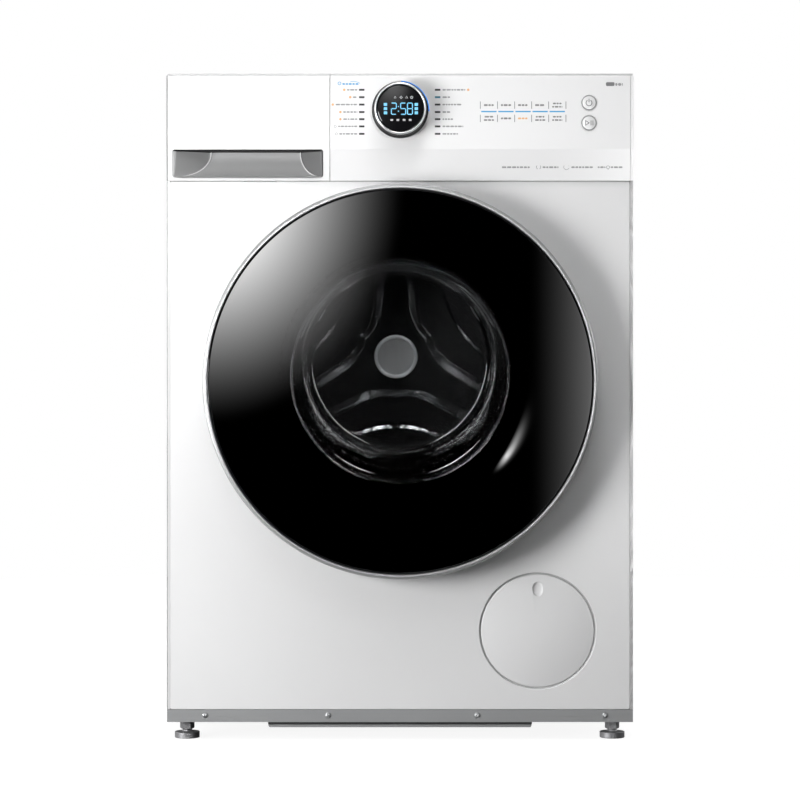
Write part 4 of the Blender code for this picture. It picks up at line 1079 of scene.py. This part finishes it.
def studio():
    scene = bpy.context.scene
    scene.world = surroundings()
    rim = [(*polar(0.0, 0.0, FLOOR_RADIUS, a), -0.0003) for a in angles(64)]
    floor = plate("floor", rim, floor_paint())
    hide(floor, "diffuse", "glossy", "transmission")

    area("key", (-1.45, -1.4, 0.42), (0.0, -0.26, 0.42), 0.9, 34)
    area("front_top", (-0.3, -1.5, 2.1), (0.0, -0.26, 0.78), 0.8, 6)
    area("fascia_wash", (0.2, -0.9, 2.3), (0.1, -0.26, 0.82), 0.5, 1.1, 60)
    area("top", (0.0, 0.1, 2.6), (0.0, 0.0, 0.85), 1.6, 10)
    area("back_left", (-2.4, 1.8, 1.6), (0.0, 0.2, 0.45), 1.4, 12)
    area("side_right", (3, 0.3, 0.8), (0.0, 0.1, 0.45), 1.2, 18)
    area("back_right", (2.4, 1.2, 1.6), (0.0, 0.0, 0.45), 1.4, 22)
    area("drum_left", (-0.13, 0.03, 0.69), (-0.11, 0.18, 0.445), 0.14, 0.5, 50)
    area("drum_right", (0.13, 0.03, 0.69), (0.115, 0.18, 0.445), 0.14, 0.9, 50)
    area("drum_low_left", (-0.12, 0.12, 0.32), (-0.03, 0.18, 0.46), 0.04, 0.05, 90)
    area("drum_low_right", (0.12, 0.12, 0.32), (0.03, 0.18, 0.46), 0.04, 0.07, 90)
    for side, x in (("left", -0.115), ("right", 0.115)):
        arc = area("bowl_" + side, (0.0, -0.21, 0.49), (x, -0.22, 0.405), 0.03, 0.05, 80)
        hide(arc, "camera")
    card("glass_card", (-0.457, 0.975), (0.52, 0.61), 1.41, "round")
    card("edge_card", (0.368, 0.45), (0.451, 0.50), 1.0, "right")
    card("glint_card", (0.59, 0.09), (0.18, 0.18), 0.76, "round", back=0.02)
    lens = [(-0.015, 1.165), (0.038, 1.175), (0.057, 1.207), (0.071, 1.25), (-0.015, 1.25)]
    card("lens_card", (0.028, 1.235), (0.085, 0.085), 0.46, "round", lens, 0.01)
    card("fascia_card", (0.45, 1.14), (0.31, 0.14), 0.36, "even", back=0.03)

    data = bpy.data.cameras.new("camera")
    data.lens = 105.8
    data.sensor_width = 36
    data.shift_x = -CAMERA[0] * data.lens / (data.sensor_width * 3)
    camera = place("camera", data)
    camera.location = CAMERA
    camera.rotation_euler = (radians(90), 0.0, 0.0)
    scene.camera = camera
    scene.view_settings.view_transform = "Standard"
    scene.view_settings.look = "None"


def area(name, at, target, size, power, spread=180):
    data = bpy.data.lights.new(name, "AREA")
    data.shape = "DISK"
    data.size = size
    data.energy = power
    data.spread = radians(spread)
    obj = place(name, data)
    obj.location = at
    obj.rotation_euler = (Vector(target) - Vector(at)).to_track_quat("-Z", "Y").to_euler()
    hide(obj, "transmission")
    return obj


def plate(name, corners, mat):
    """A flat stage piece, which isn't part of the machine."""
    bm = bmesh.new()
    bm.faces.new([bm.verts.new(corner) for corner in corners])
    mesh = as_mesh(name, bm)
    mesh.materials.append(mat)
    obj = place(name, mesh)
    return obj


def floor_paint():
    """A bright studio floor: it glows a little, so the ground stays pale under the machine."""
    mat = material("floor_white", (0.22, 0.22, 0.22), 0.9, vary=0.0)
    glow = {"Emission Color": (1.0, 1.0, 1.0, 1.0), "Emission Strength": 0.9}
    fill(mat.node_tree.nodes["Principled BSDF"], {"Specular IOR Level": 0.0, **glow})
    return mat


def card(name, centre, radii, level, shape, corners=None, back=0.0):
    """A card behind the camera that shows only as a soft reflection in the door and the trim.

    Its glow falls off from centre (round), grows from it towards +X (right) or is even. The gain undoes
    glass, which returns a twenty-fifth, and the power makes the ramp look even on a screen.
    """
    (cx, cz), (rx, rz) = centre, radii
    right = shape == "right"
    left = cx if right else cx - rx
    corners = corners or [(left, cz - rz), (cx + rx, cz - rz), (cx + rx, cz + rz), (left, cz + rz)]
    mat = bpy.data.materials.new(name)
    mat.use_nodes = True
    tree = mat.node_tree
    tree.nodes.clear()
    out = add(tree, "OutputMaterial")
    glow = add(tree, "Emission")
    clear = add(tree, "BsdfTransparent")
    both = add(tree, "AddShader")
    placing = {"Location": (cx, 0.0, cz), "Scale": (rx, 1.0, rz)}
    kept = (1.0, 0.0, 1.0) if shape == "round" else (float(right), 0.0, 0.0)
    length = distance_node(tree, placing, kept, vector_type="TEXTURE")
    ends = {"From Min": float(not right), "From Max": float(right), "To Max": level}
    fade = add(tree, "MapRange", ends)
    curve = add(tree, "Math", {1: 2.2}, operation="POWER")
    gain = add(tree, "Math", {1: 25}, operation="MULTIPLY")
    join(
        tree,
        (length, "Value", fade, "Value"),
        (fade, "Result", curve, 0),
        (curve, "Value", gain, 0),
        (gain, "Value", glow, "Strength"),
        (glow, "Emission", both, 0),
        (clear, "BSDF", both, 1),
        (both, "Shader", out, "Surface"),
    )
    obj = plate(name, [(x, CARD_Y - back, z) for x, z in corners], mat)
    hide(obj, "camera", "diffuse", "transmission", "shadow")


for build in (
    dress_all, front_sheet, service_flap, trims_and_screws, soft_parts, feet, fascia, keys, dial, drawer,
    door_pane, door_rim, door_bowl, door_seal, drum, studio
):
    build()
